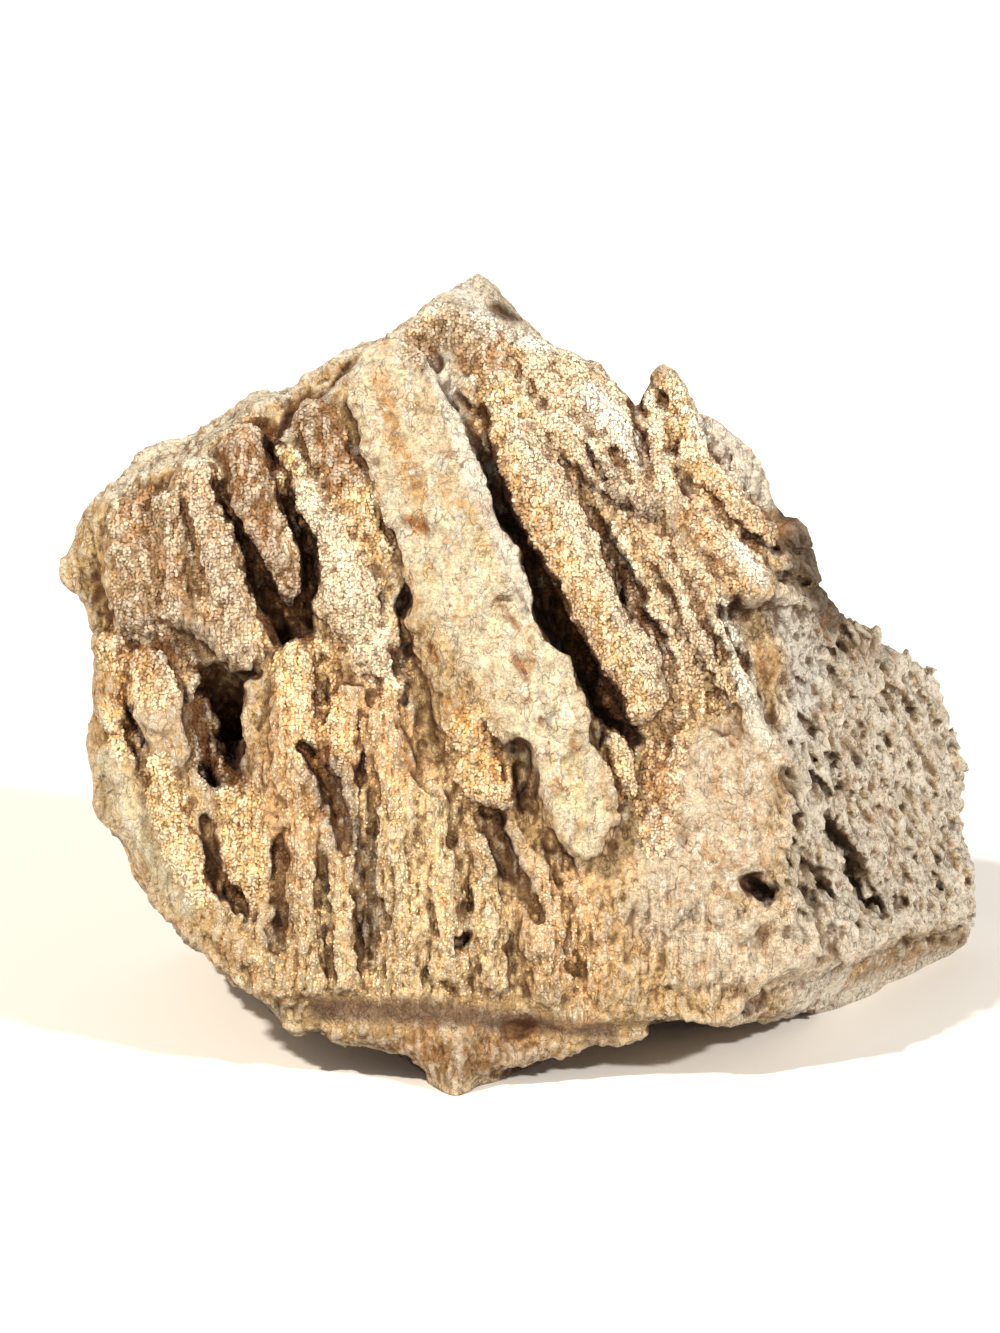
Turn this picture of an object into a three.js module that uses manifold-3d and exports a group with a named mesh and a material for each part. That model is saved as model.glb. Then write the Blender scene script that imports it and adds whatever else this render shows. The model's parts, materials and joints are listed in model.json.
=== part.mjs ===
// Petrified wood: one broken lump of silicified wood, ribbed on its front, resting on a flat underside.
//
// The lump is a solid field: a number at every point of space, negative inside the stone.
// Flat fracture planes give the block, swept ribs are blended on to it, grooves and pits are cut out
// of it, and the surface where the field is zero is meshed, thinned and trimmed flat below.
//
// Units are millimetres and +Z is up. The ribbed face leans back, so its features are placed in a
// leaning frame: u runs across to the right, v up the leaning face and w straight out of it.
// The leaning frame starts at the near tip of the keel, the lowest lump under the ribbed face.

import * as THREE from 'three';
import { mergeVertices } from 'three/addons/utils/BufferGeometryUtils.js';
import Module from 'manifold-3d';

// ---------------------------------------------------------------- driving dimensions

const LEAN = THREE.MathUtils.degToRad(18);   // how far the ribbed face leans back from upright
const CELL = 2.3;                            // spacing of the sampling lattice
const TRIANGLES = 9300;                      // faces left after thinning
const ARRIS = 2.5;                           // rounding where two fracture planes meet
const LOWER = new THREE.Vector3(-165, -18, -15);   // lattice corners, a little outside the stone
const UPPER = new THREE.Vector3(165, 206, 266);
const CLEAR = 0.03;                          // share of a lattice edge kept clear at each end of it
const SLIVER = 0.09;                         // least height of a face against its longest side
const FLATTEST = 0.004;                      // below this, planes are too flat to fix a corner
const LEAST_TURN = 0.35;                     // cosine of the most a face may turn while it is thinned
const SPREAD = 0.002;                        // what closing a long edge costs, so that flats keep some faces
const EASING = 4;                            // rounds of easing of the dense mesh
const FRONT_CARE = 14;                       // how much dearer detail is on the ribbed side
const SPARE = 7;                             // stone left below the ground for the flat trim
const STONE = { color: '#cfae7c', roughness: 0.85, metalness: 0 };

// ---------------------------------------------------------------- the leaning frame

const RISE = Math.sin(LEAN);
const RUN = Math.cos(LEAN);

// A direction or a place given in x, y, z, turned into u, v, w.
const lean = ([x, y, z]) => [x, y * RISE + z * RUN, z * RISE - y * RUN];

// ---------------------------------------------------------------- joining and cutting fields

const joined = (a, b, k) => {
  const near = Math.max(k - Math.abs(a - b), 0) / k;
  return Math.min(a, b) - near * near * k / 4;
};

const common = (a, b, k) => -joined(-a, -b, k);

const unit = ([a, b, c]) => {
  const size = Math.hypot(a, b, c);
  return [a / size, b / size, c / size];
};

// ---------------------------------------------------------------- fracture planes

// A plane through a place in the leaning frame, facing along a direction of the same frame.
const facing = (place, direction) => {
  const [a, b, c] = unit(direction);
  return [a, b, c, a * place[0] + b * place[1] + c * place[2]];
};

// The same for a plane that is easier to give upright.
const upright = (place, direction) => facing(lean(place), lean(direction));

// The stone behind all of some planes.
const between = (planes, u, v, w, rounding) => {
  let field = -1000;
  for (const [a, b, c, level] of planes) {
    field = common(field, a * u + b * v + c * w - level, rounding);
  }
  return field;
};

const BLOCK = [
  facing([0, 110, 5], [0, 0, 1]),                    // ribbed face, at the level of its troughs
  facing([0, 195, 3], [0, 0.17, 0.985]),             // its upper third leans further back
  facing([-98, 150, 2], [-0.28, 0, 0.96]),           // it turns away on the left
  facing([62, 120, 3], [0.22, 0.02, 0.975]),         // and a little on the right
  facing([88, 120, 0], [0.866, 0, 0.5]),             // porous right flank
  facing([-100, 224, 0], [-0.42, 0.907, 0]),         // pale top, falling to the left and back
  facing([-120, 204, 0], [-0.464, 0.736, 0.423]),    // bevel between the top and the rib heads
  facing([82, 207.5, -6], [0.6, 0.77, -0.2]),        // slope down to the right of the summit
  facing([144, 129, -95], [0.73, 0.45, -0.1]),       // outer end of the slope over the flank
  facing([153, 80, -112], [0.985, 0.09, -0.14]),     // right end
  facing([-160.5, 174, -20], [-0.93, 0.31, -0.2]),   // left end
  facing([-132, 77, 0], [-0.83, -0.56, 0]),          // overhang at the lower left
  facing([-91, 34.5, 0], [-0.59, -0.807, 0]),        // its shallower lower part
  upright([60, 4, 22], [0, -0.29, -0.957]),          // underside, rising to the front
  facing([-35, 31, 8], [-0.1, -0.74, 0.67]),         // sheared band along the front of the underside
  upright([108, 51, 31], [0.711, -0.512, -0.481]),   // smooth underface at the lower right
  upright([20, 174, 90], [0.08, 0.985, 0.1]),        // back
  upright([-105, 125, 110], [-0.66, 0.73, 0.15]),    // back left
  upright([135, 165, 60], [0.5, 0.85, 0.1]),         // back right
  upright([-30, 150, 205], [-0.15, 0.72, 0.68]),     // slope from the summit to the back
];

// The keel: the low lump under the ribbed face that reaches the ground at its near tip.
const KEEL = [
  upright([-36, 33, 0], [-0.549, -0.836, -0.1]),
  upright([-88, 90, 0], [-0.95, -0.3, -0.2]),
  upright([1, 24, 0], [0.658, -0.752, -0.1]),
  upright([0, 0, 38], [0, 0, 1]),
  upright([0, 120, 0], [0, 1, 0]),
  upright([95, 90, 0], [1, 0, 0]),
];

// Its beak-like nose, which comes forward to the near tip.
const NOSE = [
  upright([-25, -4, 0], [-0.922, -0.389, 0.1]),
  upright([-17, -4, 0], [0.778, -0.629, 0.1]),
  upright([0, 0, 26], [0, -0.3, 1]),
  upright([0, 60, 0], [0, 1, 0]),
];

// Corners broken out of the block, each between two planes.
const BITES = [
  // the step under the far left rib heads
  [facing([-140, 140, -15], [1, -0.1, 0.2]), facing([-149, 163, -15], [0.845, 0.538, 0.12])],
  // the notch that sets the summit apart from the shoulder
  [facing([44, 232, -10], [0.93, -0.37, 0.15]), facing([10, 246, -6], [-0.6, -0.77, 0.2])],
  // two layers off the slope over the flank
  [facing([85, 195, -5], [-1, -0.1, 0.3]), facing([91, 189, -5], [-0.4, -0.87, 0.2])],
  [facing([99, 170, -20], [-1, -0.1, 0.3]), facing([106, 158, -31], [-0.343, -0.86, 0.1])],
];

// The summit, a smaller block with a bevelled crest.
const SUMMIT = [
  facing([-29, 260.5, -12], [-0.686, 0.727, -0.15]),
  facing([-4, 260, -14], [0.75, 0.66, 0.05]),
  facing([-14, 250, -1], [0.1, 0.1, 1]),
  facing([-13, 260, -6], [0.15, 0.75, 0.65]),
  facing([12, 236, -10], [0.95, 0, 0.3]),
  facing([0, 215, 0], [0, -1, 0]),
  facing([0, 240, -60], [0, 0, -1]),
];

// ---------------------------------------------------------------- slow swells

// Long waves that keep the fracture planes from looking sawn; lengths in mm between crests.
const waves = (rows) => rows.map(([length, direction, height], i) => {
  const [a, b, c] = unit(direction).map((n) => n * 2 * Math.PI / length);
  return [a, b, c, i * 1.7, height];
});

const SWELLS = waves([
  [41, [0.8, 0.5, 0.33], 1.1],
  [29, [-0.4, 0.9, 0.2], 0.9],
  [23, [0.5, -0.3, 0.8], 0.7],
]);

// Shorter ones that roughen everything, ribs and slab included.
const CHIPPING = waves([
  [21, [0.9, 0.3, -0.3], 0.35],
  [16, [-0.2, 0.6, 0.77], 0.3],
]);

const swell = (crests, u, v, w) => {
  let sum = 0;
  for (const [a, b, c, phase, height] of crests) {
    const wander = Math.sin((b * u - a * v) * 0.7 + c * w);
    sum += height * Math.sin(a * u + b * v + c * w + phase + wander);
  }
  return sum;
};

// ---------------------------------------------------------------- the tools of relief

// Each feature knows the box it can touch, so that the rest of the lattice passes it by.
const FEATURES = [];

const REACH = 9;   // a feature is still felt this far outside its own box

const keep = (distance, points, widest, blend, cuts) => {
  const margin = REACH + blend + widest;
  const spread = [0, 1, 2].map((axis) => points.map((point) => point[axis]));
  const low = spread.map((values) => Math.min(...values) - margin);
  const high = spread.map((values) => Math.max(...values) + margin);
  FEATURES.push({ distance, low, high, blend, cuts });
};

const widestOf = (points) => Math.max(...points.map((point) => point[3]));

// A slow wander of one direction along two others, which keeps the growth from looking ruled.
const bend = (crosswise, other, length, height) => {
  const first = Math.sin(crosswise / length + 1.3 * Math.sin(other / (length * 1.7)));
  const second = Math.sin(crosswise / (length * 0.47) + other / length + 2);
  const third = Math.sin(crosswise / (length * 0.21) - other / (length * 0.33) + 0.9 * second);
  return height * (first + 0.6 * second + 0.45 * third);
};

const bent = (u, v, w) => [u + bend(v, w, 6.1, 0.75), v + bend(u, w, 5.3, 0.7), w + bend(v, u, 7.2, 0.5)];

// How far along the stretch from a to b the point lies, from 0 to 1.
const along = (u, v, w, a, b) => {
  const [s, t, r] = [b[0] - a[0], b[1] - a[1], b[2] - a[2]];
  const part = ((u - a[0]) * s + (v - a[1]) * t + (w - a[2]) * r) / (s * s + t * t + r * r);
  return Math.min(1, Math.max(0, part));
};

// Round stem through points [u, v, w, radius]; flat > 1 makes it lower than it is wide. With a
// spread it is a trench, open to the outside and wider by that much per millimetre.
const stem = (points, flat, spread = null) => (u, v, w) => {
  let best = 1000;
  for (let i = 1; i < points.length; i += 1) {
    const [a, b] = [points[i - 1], points[i]];
    const t = along(u, v, w, a, b);
    const across = Math.hypot(u - a[0] - t * (b[0] - a[0]), v - a[1] - t * (b[1] - a[1]));
    let out = (w - a[2] - t * (b[2] - a[2])) * flat;
    let radius = a[3] + t * (b[3] - a[3]);
    if (spread !== null) {
      radius += spread * Math.max(out, 0);
      out = Math.min(out, 0);
    }
    best = Math.min(best, Math.hypot(across, out) - radius);
  }
  return best;
};

const rib = (points, { blend = 4, flat = 1 } = {}) => {
  keep(stem(points, flat), points, widestOf(points), blend, false);
};

const groove = (points, { blend = 3, spread = 0.15 } = {}) => {
  keep(stem(points, 1, spread), points, widestOf(points), blend, true);
};

const tunnel = (points, { blend = 2 } = {}) => {
  keep(stem(points, 1), points, widestOf(points), blend, true);
};

// Flat-topped bar through points [u, v, w, half width], of one thickness, tilted across its width.
const bar = (points, { thick, tilt = 0, edge = 2, blend = 3 }) => {
  const distance = (u, v, w) => {
    let best = 1000;
    for (let i = 1; i < points.length; i += 1) {
      const [a, b] = [points[i - 1], points[i]];
      const [s, t] = unit([b[0] - a[0], b[1] - a[1], 0]);
      const span = Math.hypot(b[0] - a[0], b[1] - a[1]);
      const run = (u - a[0]) * s + (v - a[1]) * t;
      const part = Math.min(1, Math.max(0, run / span));
      const side = (u - a[0]) * t - (v - a[1]) * s;
      const past = Math.max(-run, run - span, 0);
      const wide = Math.abs(side) - a[3] - part * (b[3] - a[3]) + edge;
      const high = Math.abs(w - a[2] - part * (b[2] - a[2]) - side * tilt) - thick / 2 + edge;
      const outside = Math.hypot(Math.max(wide, 0), Math.max(high, 0), past);
      best = Math.min(best, outside + Math.min(Math.max(wide, high), 0) - edge);
    }
    return best;
  };
  keep(distance, points, Math.max(thick, widestOf(points)), blend, false);
};

// Egg-shaped lump or pit at a place, with its three half sizes, turned in the leaning face.
const egg = (place, size, degrees = 0) => {
  const turn = THREE.MathUtils.degToRad(degrees);
  const [c, s] = [Math.cos(turn), Math.sin(turn)];
  const least = Math.min(...size);
  return (u, v, w) => {
    const [du, dv, dw] = [u - place[0], v - place[1], w - place[2]];
    const p = (du * c + dv * s) / size[0];
    const q = (dv * c - du * s) / size[1];
    return (Math.hypot(p, q, dw / size[2]) - 1) * least;
  };
};

const lump = (place, size, degrees = 0, blend = 5) => {
  keep(egg(place, size, degrees), [place], Math.max(...size), blend, false);
};

const pit = (place, size, degrees = 0, blend = 1.5) => {
  keep(egg(place, size, degrees), [place], Math.max(...size), blend, true);
};

// ---------------------------------------------------------------- the summit and the upper right

// Summit block with its pale bevel, and the brown pocket broken into its right side.
rib([[-34, 249, -4, 6], [-26, 240, 0, 6.5], [-18, 230, 3, 6]], { flat: 1.2 });
rib([[-27, 257, -9, 6], [-15, 246, -3, 8], [-6, 234, 1, 7], [2, 227, 3, 5]], { flat: 1.2 });
pit([-3, 260, -8], [9, 3.5, 8], -45);

// Lobes that fan out to the right below the crest and end in an overhang.
rib([[-6, 249, -6, 5], [3, 243, -3, 6], [8, 233, 2, 6], [13, 226, 4, 5]], { blend: 2.5 });
rib([
  [5, 245, -9, 5.5], [14, 240, -6, 7], [21, 231, -1, 7.5], [29, 221, 2, 7], [36, 211, 4, 5],
], { blend: 2.5 });
rib([[25, 235, -7, 5], [31, 228, -4, 5], [37, 217, 0, 4]], { blend: 3 });
rib([[8, 223, 4, 5], [17, 214, 7, 6], [24, 206, 8, 5.5]], { blend: 2 });
rib([[22, 216, 4, 5], [29, 206, 7, 5.5], [34, 199, 7, 5]], { blend: 2 });
rib([[33, 210, 3, 5], [40, 200, 6, 5.5], [46, 192, 6, 5]], { blend: 2 });
rib([[43, 224, -6, 3], [45, 215, 0, 4], [48, 203, 4, 5], [53, 194, 5, 5]], { blend: 2 });
groove([[38, 227, -2, 2.5], [40, 216, 3, 2], [43, 204, 8, 1.5]], { blend: 1.5 });
pit([15, 206, 3], [4, 6, 7], 35);
pit([26, 197, 4], [7, 3, 6], -25);
pit([41, 190, 5], [8, 2.5, 5], -30);

// The free finger on top of the shoulder, and the ribs below it.
rib([[49, 236.5, -9, 5], [53, 226, -5, 5.5], [58, 213, -1, 5]], { blend: 1.5 });
groove([[57, 231, -6, 1.5], [62, 219, -2, 2.5], [70, 206, 0, 2.5]], { blend: 2 });
pit([53, 204.5, 3], [2.5, 3, 7]);
rib([[57, 208, 2, 5], [65, 200, 4, 6], [73, 191, 4, 6.5], [80, 183, 2, 5.5]], { blend: 3 });
groove([[60, 198, 6, 2.5], [67, 190, 5, 3.5], [79, 177, 3, 3.5]], { blend: 2 });
rib([[54, 193, 3, 5], [62, 184, 6, 7], [70, 175, 6, 7.5], [78, 167, 4, 7]], { blend: 3 });
pit([84, 156, 4], [6, 6, 8], -30);

// Small ribs side by side, running down to the right in the middle of the face.
rib([[28, 190, 3, 3.5], [33, 176, 5, 5], [42, 161, 6, 5], [49, 148, 5, 4.5]], { blend: 2 });
rib([[39, 189, 3, 4], [48, 176, 6, 5], [55, 164, 7, 5], [62, 151, 7, 5], [69, 137, 5, 4]], { blend: 2 });
rib([[47, 198, 3, 4], [57, 179, 6, 5], [66, 165, 6, 4.5]], { blend: 2 });

// A sharp bare ridge to the right of them, with slots beside it.
bar([
  [57, 166, 4, 1.5], [64, 156, 7, 2], [69, 145, 8, 2.5], [75, 131, 7, 2.5], [80, 120, 5, 2.5],
  [87, 109, 1, 2],
], { thick: 10, tilt: -0.3, edge: 1.5, blend: 3 });
groove([[56, 168, 9, 2], [62, 158, 9, 2], [66, 146, 9, 2.5], [71, 133, 9, 2]], { blend: 1.5 });
groove([[74, 157, 7, 2], [79, 148, 6, 3], [83, 141, 4, 2.5]], { blend: 2 });
groove([[79, 138, 7, 1.5], [84, 126, 4, 2.5], [88, 117, 1, 2]], { blend: 2 });

// ---------------------------------------------------------------- the big round rib beside the slab

rib([[-9, 228, 1, 6], [-2, 213, 4, 9.5], [7, 198, 6, 12], [15, 180, 6, 12.5]], { blend: 3 });
rib([[15, 180, 6, 12.5], [26, 160, 7, 12.5], [35, 142, 6, 12], [39, 130, 5, 9.5]], { blend: 2 });
groove([[20, 200, 9, 1.2], [26, 188, 5, 2], [31, 177, 2, 3], [37, 164, 2, 3.5]], { blend: 1.5 });
groove([
  [37, 164, 2, 3.5], [45, 153, 4, 2.5], [51, 143, 6, 2], [52, 131, 7, 2], [46, 104, 8, 2],
], { blend: 2 });

// ---------------------------------------------------------------- the left-hand ribs

// Dark granular block of the far left, then the taller ribs beside it.
lump([-126, 172, -6], [13, 24, 8], 5, 4);
rib([[-117, 192, -3, 7], [-116, 176, -2, 7], [-114, 160, -1, 7]], { blend: 3 });
rib([[-107, 201, 0, 8.5], [-104, 185, 3, 9], [-99, 167, 4, 9], [-93, 153, 2, 8]], { blend: 3 });
rib([
  [-92, 213, 0, 8], [-88, 195, 4, 9], [-82, 178, 6, 8], [-77, 167, 5, 5], [-74, 160, 4, 3],
], { blend: 2 });
rib([[-68, 220, 2, 8], [-60, 205, 4, 8], [-51, 188, 6, 7.5], [-44, 168, 6, 6]]);
rib([[-77, 210, 1, 5], [-71, 199, 4, 7], [-64, 184, 5, 9], [-57, 165, 5, 11.5]], { blend: 2 });
rib([[-57, 165, 5, 11.5], [-49, 148, 4, 9], [-42, 135, 4, 5]], { blend: 2 });
groove([
  [-101, 203, 5, 1.2], [-96, 192, 4, 1.6], [-90, 178, 2, 2], [-86, 168, 0, 3], [-80, 157, -3, 5],
  [-77, 151, -4, 5],
], { blend: 1.5 });
groove([
  [-80, 205, 6, 1.5], [-76, 194, 4, 2.2], [-71, 180, 3, 2], [-70, 166, 0, 2.5], [-73, 153, -3, 4],
], { blend: 1.5 });
groove([
  [-63, 195, 12, 1.5], [-52, 180, 11, 1.8], [-45, 168, 10, 2], [-41, 152, 10, 2],
  [-40, 138, 8, 2.5],
], { blend: 2 });
groove([[-112, 199, 6, 2], [-110, 180, 6, 2.5], [-106, 163, 6, 2.5]], { blend: 2 });
pit([-38, 128, 5], [3, 4.5, 9]);

// ---------------------------------------------------------------- the pale flat slab

bar([
  [-44, 240, 0, 14], [-37, 219, 4, 18], [-27, 195, 7, 18],
], { thick: 20, tilt: -0.08, edge: 1.5, blend: 2.5 });
bar([
  [-27, 195, 7, 18], [-17, 168, 8, 19], [-3, 143, 9, 18],
], { thick: 20, tilt: -0.12, edge: 1.5, blend: 2.5 });
bar([
  [-3, 143, 9, 18], [11, 115, 10, 14], [22, 91, 9, 11], [21, 79, 7, 5],
], { thick: 20, tilt: -0.06, edge: 1, blend: 2 });
rib([[-27, 156, 7, 11], [-20, 136, 7, 11.5], [-14, 116, 6, 10.5], [-11, 101, 5, 9]], { blend: 3 });
groove([
  [-33, 252, 4, 2], [-21, 229, 6, 2.5], [-16, 217, 3, 3.5], [-10, 206, 5, 2.5], [-4, 190, 5, 3],
], { blend: 1.5, spread: 0 });
groove([[-3, 188, 4, 3], [3, 176, 0, 4], [9, 164, -2, 5], [15, 150, -3, 5.5]], { blend: 1.5, spread: 0 });
groove([
  [15, 150, -3, 5.5], [22, 138, -3, 5.5], [29, 127, -2, 5.5], [36, 117, 2, 3.5],
], { blend: 1.5, spread: 0 });
rib([[31, 115, 7, 4.5], [34, 106, 9, 4.5], [35, 100, 8, 4]], { blend: 1.5 });
groove([[1, 113, 11, 3], [2, 103, 11, 3], [1, 94, 10, 3.5]], { blend: 2 });

// Flakes and steps broken from the slab's face.
pit([-4, 158, 23], [9, 6, 6], 50);
pit([0, 139, 24], [4, 8, 6], -20);
pit([-37, 187, 22], [9, 5, 6], 60);
pit([20, 110, 23], [5, 9, 6], -25);
pit([-50, 212, 17], [4, 12, 3.5], 25);
pit([-24, 211, 21], [8, 4, 4], -30);
pit([8, 122, 23], [4, 7, 5], -40);
pit([-22, 146, 22], [5, 9, 5], -25);

// ---------------------------------------------------------------- the belly below the ribs

lump([-34, 72, -4], [60, 54, 12], 0, 10);
rib([
  [-76, 141, 4, 7], [-75, 115, 6, 8], [-73, 88, 7, 6.5], [-72, 60, 7, 6], [-69, 36, 5, 5],
], { blend: 3 });
rib([
  [-57, 128, 5, 7], [-60, 100, 6, 6], [-59, 76, 8, 6], [-60, 56, 8, 5.5], [-58, 37, 7, 4],
], { blend: 3 });
rib([
  [-46, 122, 6, 7], [-41, 98, 8, 8], [-39, 74, 9, 7.5], [-37, 50, 8, 8], [-38, 36, 7, 5],
], { blend: 3 });
rib([[-30, 96, 7, 6], [-26, 68, 9, 7], [-24, 40, 7, 6]], { blend: 3 });
rib([[-12, 76, 7, 4], [-11, 56, 9, 6], [-8, 36, 6, 5]], { blend: 3 });
rib([[6, 74, 6, 7], [8, 52, 8, 8], [10, 34, 5, 6]], { blend: 4 });
rib([[20, 66, 4, 7], [27, 50, 5, 9], [36, 32, 3, 7]], { blend: 5 });
groove([[-71, 113, 8, 2], [-64, 102, 6, 3], [-60, 90, 7, 3], [-57, 80, 11, 2]], { blend: 1.5 });
groove([[-48, 92, 14, 1.5], [-51, 80, 7, 3], [-51, 60, 5, 4], [-50, 40, 7, 3]], { blend: 1.5 });
groove([[-67, 70, 11, 1.5], [-65, 55, 8, 2.2], [-62, 37, 9, 2]], { blend: 1.5 });
groove([[-79, 84, 6, 2], [-81, 66, 4, 3], [-81, 46, 5, 2.5]], { blend: 1.5 });
groove([
  [-18, 92, 12, 1.5], [-9, 89, 4, 3.5], [-5, 78, 4, 4], [0, 69, 8, 3], [5, 58, 13, 2],
], { blend: 1.5 });
pit([-19.5, 49, 13], [2.6, 3, 9]);

// ---------------------------------------------------------------- the hollow and the lower left

groove([[-100, 131, -9, 8.5], [-100, 116, -9, 8.5], [-101, 106, -6, 7]], { blend: 1.5, spread: 0 });
tunnel([[-100, 136, -6, 7], [-97, 124, -14, 8], [-104, 101, -5, 5]]);
rib([[-112, 160, -2, 6], [-101, 152, 3, 7], [-91, 146, 3, 6.5]], { blend: 3 });
lump([-116, 147, -9], [10, 8, 9], -20, 4);
rib([[-94, 97, -5, 8], [-92, 84, -3, 9], [-90, 68, -2, 8], [-90, 56, 0, 6]], { blend: 4 });
bar([
  [-125, 143, -4, 6], [-120, 124, -1, 8], [-115, 109, -2, 5],
], { thick: 14, tilt: -0.2, edge: 1, blend: 2 });
rib([[-122, 109, -4, 6], [-117, 94, -2, 6.5], [-113, 79, -1, 6.5], [-106, 62, 1, 5]], { blend: 3 });
rib([[-137, 146, -8, 6], [-135, 128, -7, 6], [-133, 112, -8, 6]], { blend: 4 });
bar([[-135, 111, -12, 5], [-126, 88, -12, 5], [-111, 64, -10, 5]], { thick: 18, edge: 3, blend: 4 });
groove([[-131, 122, 0, 2], [-127, 110, -1, 3], [-127, 97, 0, 2]], { blend: 2 });
groove([[-104, 88, 1, 2.5], [-102, 72, 1, 3], [-95, 60, 2, 3.5], [-88, 46, 3, 3.5]], { blend: 1 });
pit([-91, 40, 6], [4, 8, 8], 10);
pit([-104, 103, 1], [4, 3, 7], -30);
rib([[-98, 56, 0, 5], [-88, 42, 2, 5], [-78, 36, 4, 5]], { blend: 5 });

// ---------------------------------------------------------------- the lower right

// Pebbly nose of the keel, under the middle of the ribbed face.
rib([[-21, -1, 0, 3.5], [-22, 8, 1, 5], [-24, 18, 3, 7]], { blend: 4 });
rib([[-60, 22, -6, 5], [-42, 18, -1, 6], [-26, 12, 1, 6]], { blend: 5 });
rib([[-16, 10, 0, 5], [8, 14, -2, 5], [40, 19, -6, 4]], { blend: 5 });

// Smooth boss with a sharp right edge, the hole under it and the rounded nodules below.
lump([70, 92, -1], [20, 30, 13], 10, 8);
lump([46, 68, -2], [28, 22, 11], 35, 12);
lump([62, 44, -6], [36, 14, 13], 3, 12);
lump([96, 52, -22], [16, 14, 14], 0, 8);
pit([79, 66, 6], [6.5, 3.5, 8], -40);
lump([66, 60, 6], [6, 5, 7], 0, 3);
lump([76, 54, 3], [6, 5, 7], 0, 3);
pit([90, 31, -6], [21, 6, 11], 10, 3);

// ---------------------------------------------------------------- the porous flank

// Level of the flank's plane.
const flank = (u) => (88 - u) * Math.tan(Math.PI / 3);

// Its larger pits, given as [u, v, half width, half height], drawn out down and to the right.
const FLANK_PITS = [
  [99, 103, 3, 6], [107, 101, 4, 6.5], [92, 89, 3, 5], [107, 82, 5.5, 8], [114, 68, 6, 11], [121, 56, 4, 6],
  [97, 148, 2.5, 3.5], [108, 148, 3.5, 3], [91, 130, 2.5, 4], [123, 128, 3.5, 3], [134, 120, 2.5, 3],
  [125, 106, 2.5, 3.5], [140, 107, 2, 3], [131, 71, 2.5, 3], [100, 66, 4, 8], [95, 52, 3, 6], [141, 84, 2, 4],
];
for (const [u, v, wide, tall] of FLANK_PITS) {
  pit([u, v, flank(u) + 1], [wide, tall, wide * 2.2], 25);
}

// Brown ledges one under the other at the top of the flank.
for (let i = 0; i < 3; i += 1) {
  const v = 184 - i * 10;
  const tip = 93 + i * 3;
  const end = 98 + i * 2;
  rib([[88, v, flank(88) - 2, 4.5], [tip, v - 3, flank(tip) + 1, 4]], { flat: 0.7, blend: 3 });
  tunnel([[86, v - 5, flank(86) + 4, 2.5], [end, v - 8, flank(end) + 4, 2.5]], { blend: 2 });
}

// Hard rim along the foot of the flank, over the smooth underface.
rib([
  [110, 46, flank(110) - 4, 6], [130, 54, flank(130) - 4, 5.5], [151, 57, flank(151) - 1, 4],
], { blend: 5 });

// ---------------------------------------------------------------- the sides that the ribs turn away from

// Worn ribs of the same growth on the back, each given by its top and its foot, upright, and its size.
const BACK_RIBS = [
  [[-94, 132, 152], [-92, 138, 40], 9],
  [[-72, 148, 166], [-70, 156, 60], 11],
  [[-42, 158, 166], [-50, 168, 20], 13],
  [[-12, 164, 150], [-24, 173, 50], 10],
  [[16, 166, 150], [8, 174, 12], 13],
  [[46, 164, 122], [40, 172, 50], 9],
  [[72, 158, 108], [70, 168, 20], 12],
  [[102, 152, 88], [104, 162, 20], 10],
];
for (const [top, foot, size] of BACK_RIBS) {
  const middle = top.map((n, axis) => (n + foot[axis]) / 2 + (axis === 0 ? size / 3 : -1));
  const thickness = [size * 0.35, size * 0.9, size * 0.4];
  rib([top, middle, foot].map((place, i) => [...lean(place), thickness[i]]), { blend: 10 });
}

// Steps where layers broke away: on the pale top, on the left end and on the back.
const STEPS = [
  [[-62, 130, 214], [46, 5, 34], 25],
  [[30, 150, 205], [40, 34, 9], 0],
  [[-146, 90, 110], [8, 44, 22], 20],
  [[120, 118, 150], [36, 7, 24], -50],
];
for (const [place, size, degrees] of STEPS) {
  pit(lean(place), size, degrees, 2);
}

// ---------------------------------------------------------------- the whole stone

const touches = ({ low, high }, u, v, w) => u > low[0] && u < high[0]
  && v > low[1] && v < high[1] && w > low[2] && w < high[2];

const stoneField = (x, y, z) => {
  const [u, v, w] = lean([x, y, z]);
  const keel = joined(between(KEEL, u, v, w, 3), between(NOSE, u, v, w, 5), 6);
  let field = joined(between(BLOCK, u, v, w, ARRIS), keel, 5);
  for (const bite of BITES) {
    field = common(field, -between(bite, u, v, w, 3), 3);
  }
  field += swell(SWELLS, u, v, w);
  field = joined(field, between(SUMMIT, u, v, w, 2), 3);
  const place = bent(u, v, w);
  for (const feature of FEATURES) {
    if (touches(feature, u, v, w)) {
      const distance = feature.distance(...place);
      field = feature.cuts ? common(field, -distance, feature.blend) : joined(field, distance, feature.blend);
    }
  }
  return Math.max(field + swell(CHIPPING, u, v, w), -SPARE - z);
};

// ---------------------------------------------------------------- meshing the field

// Each lattice cube is six tetrahedra round its long diagonal, which always mesh without a gap.
const PATHS = [[1, 3], [1, 5], [2, 3], [2, 6], [4, 5], [4, 6]];

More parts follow.
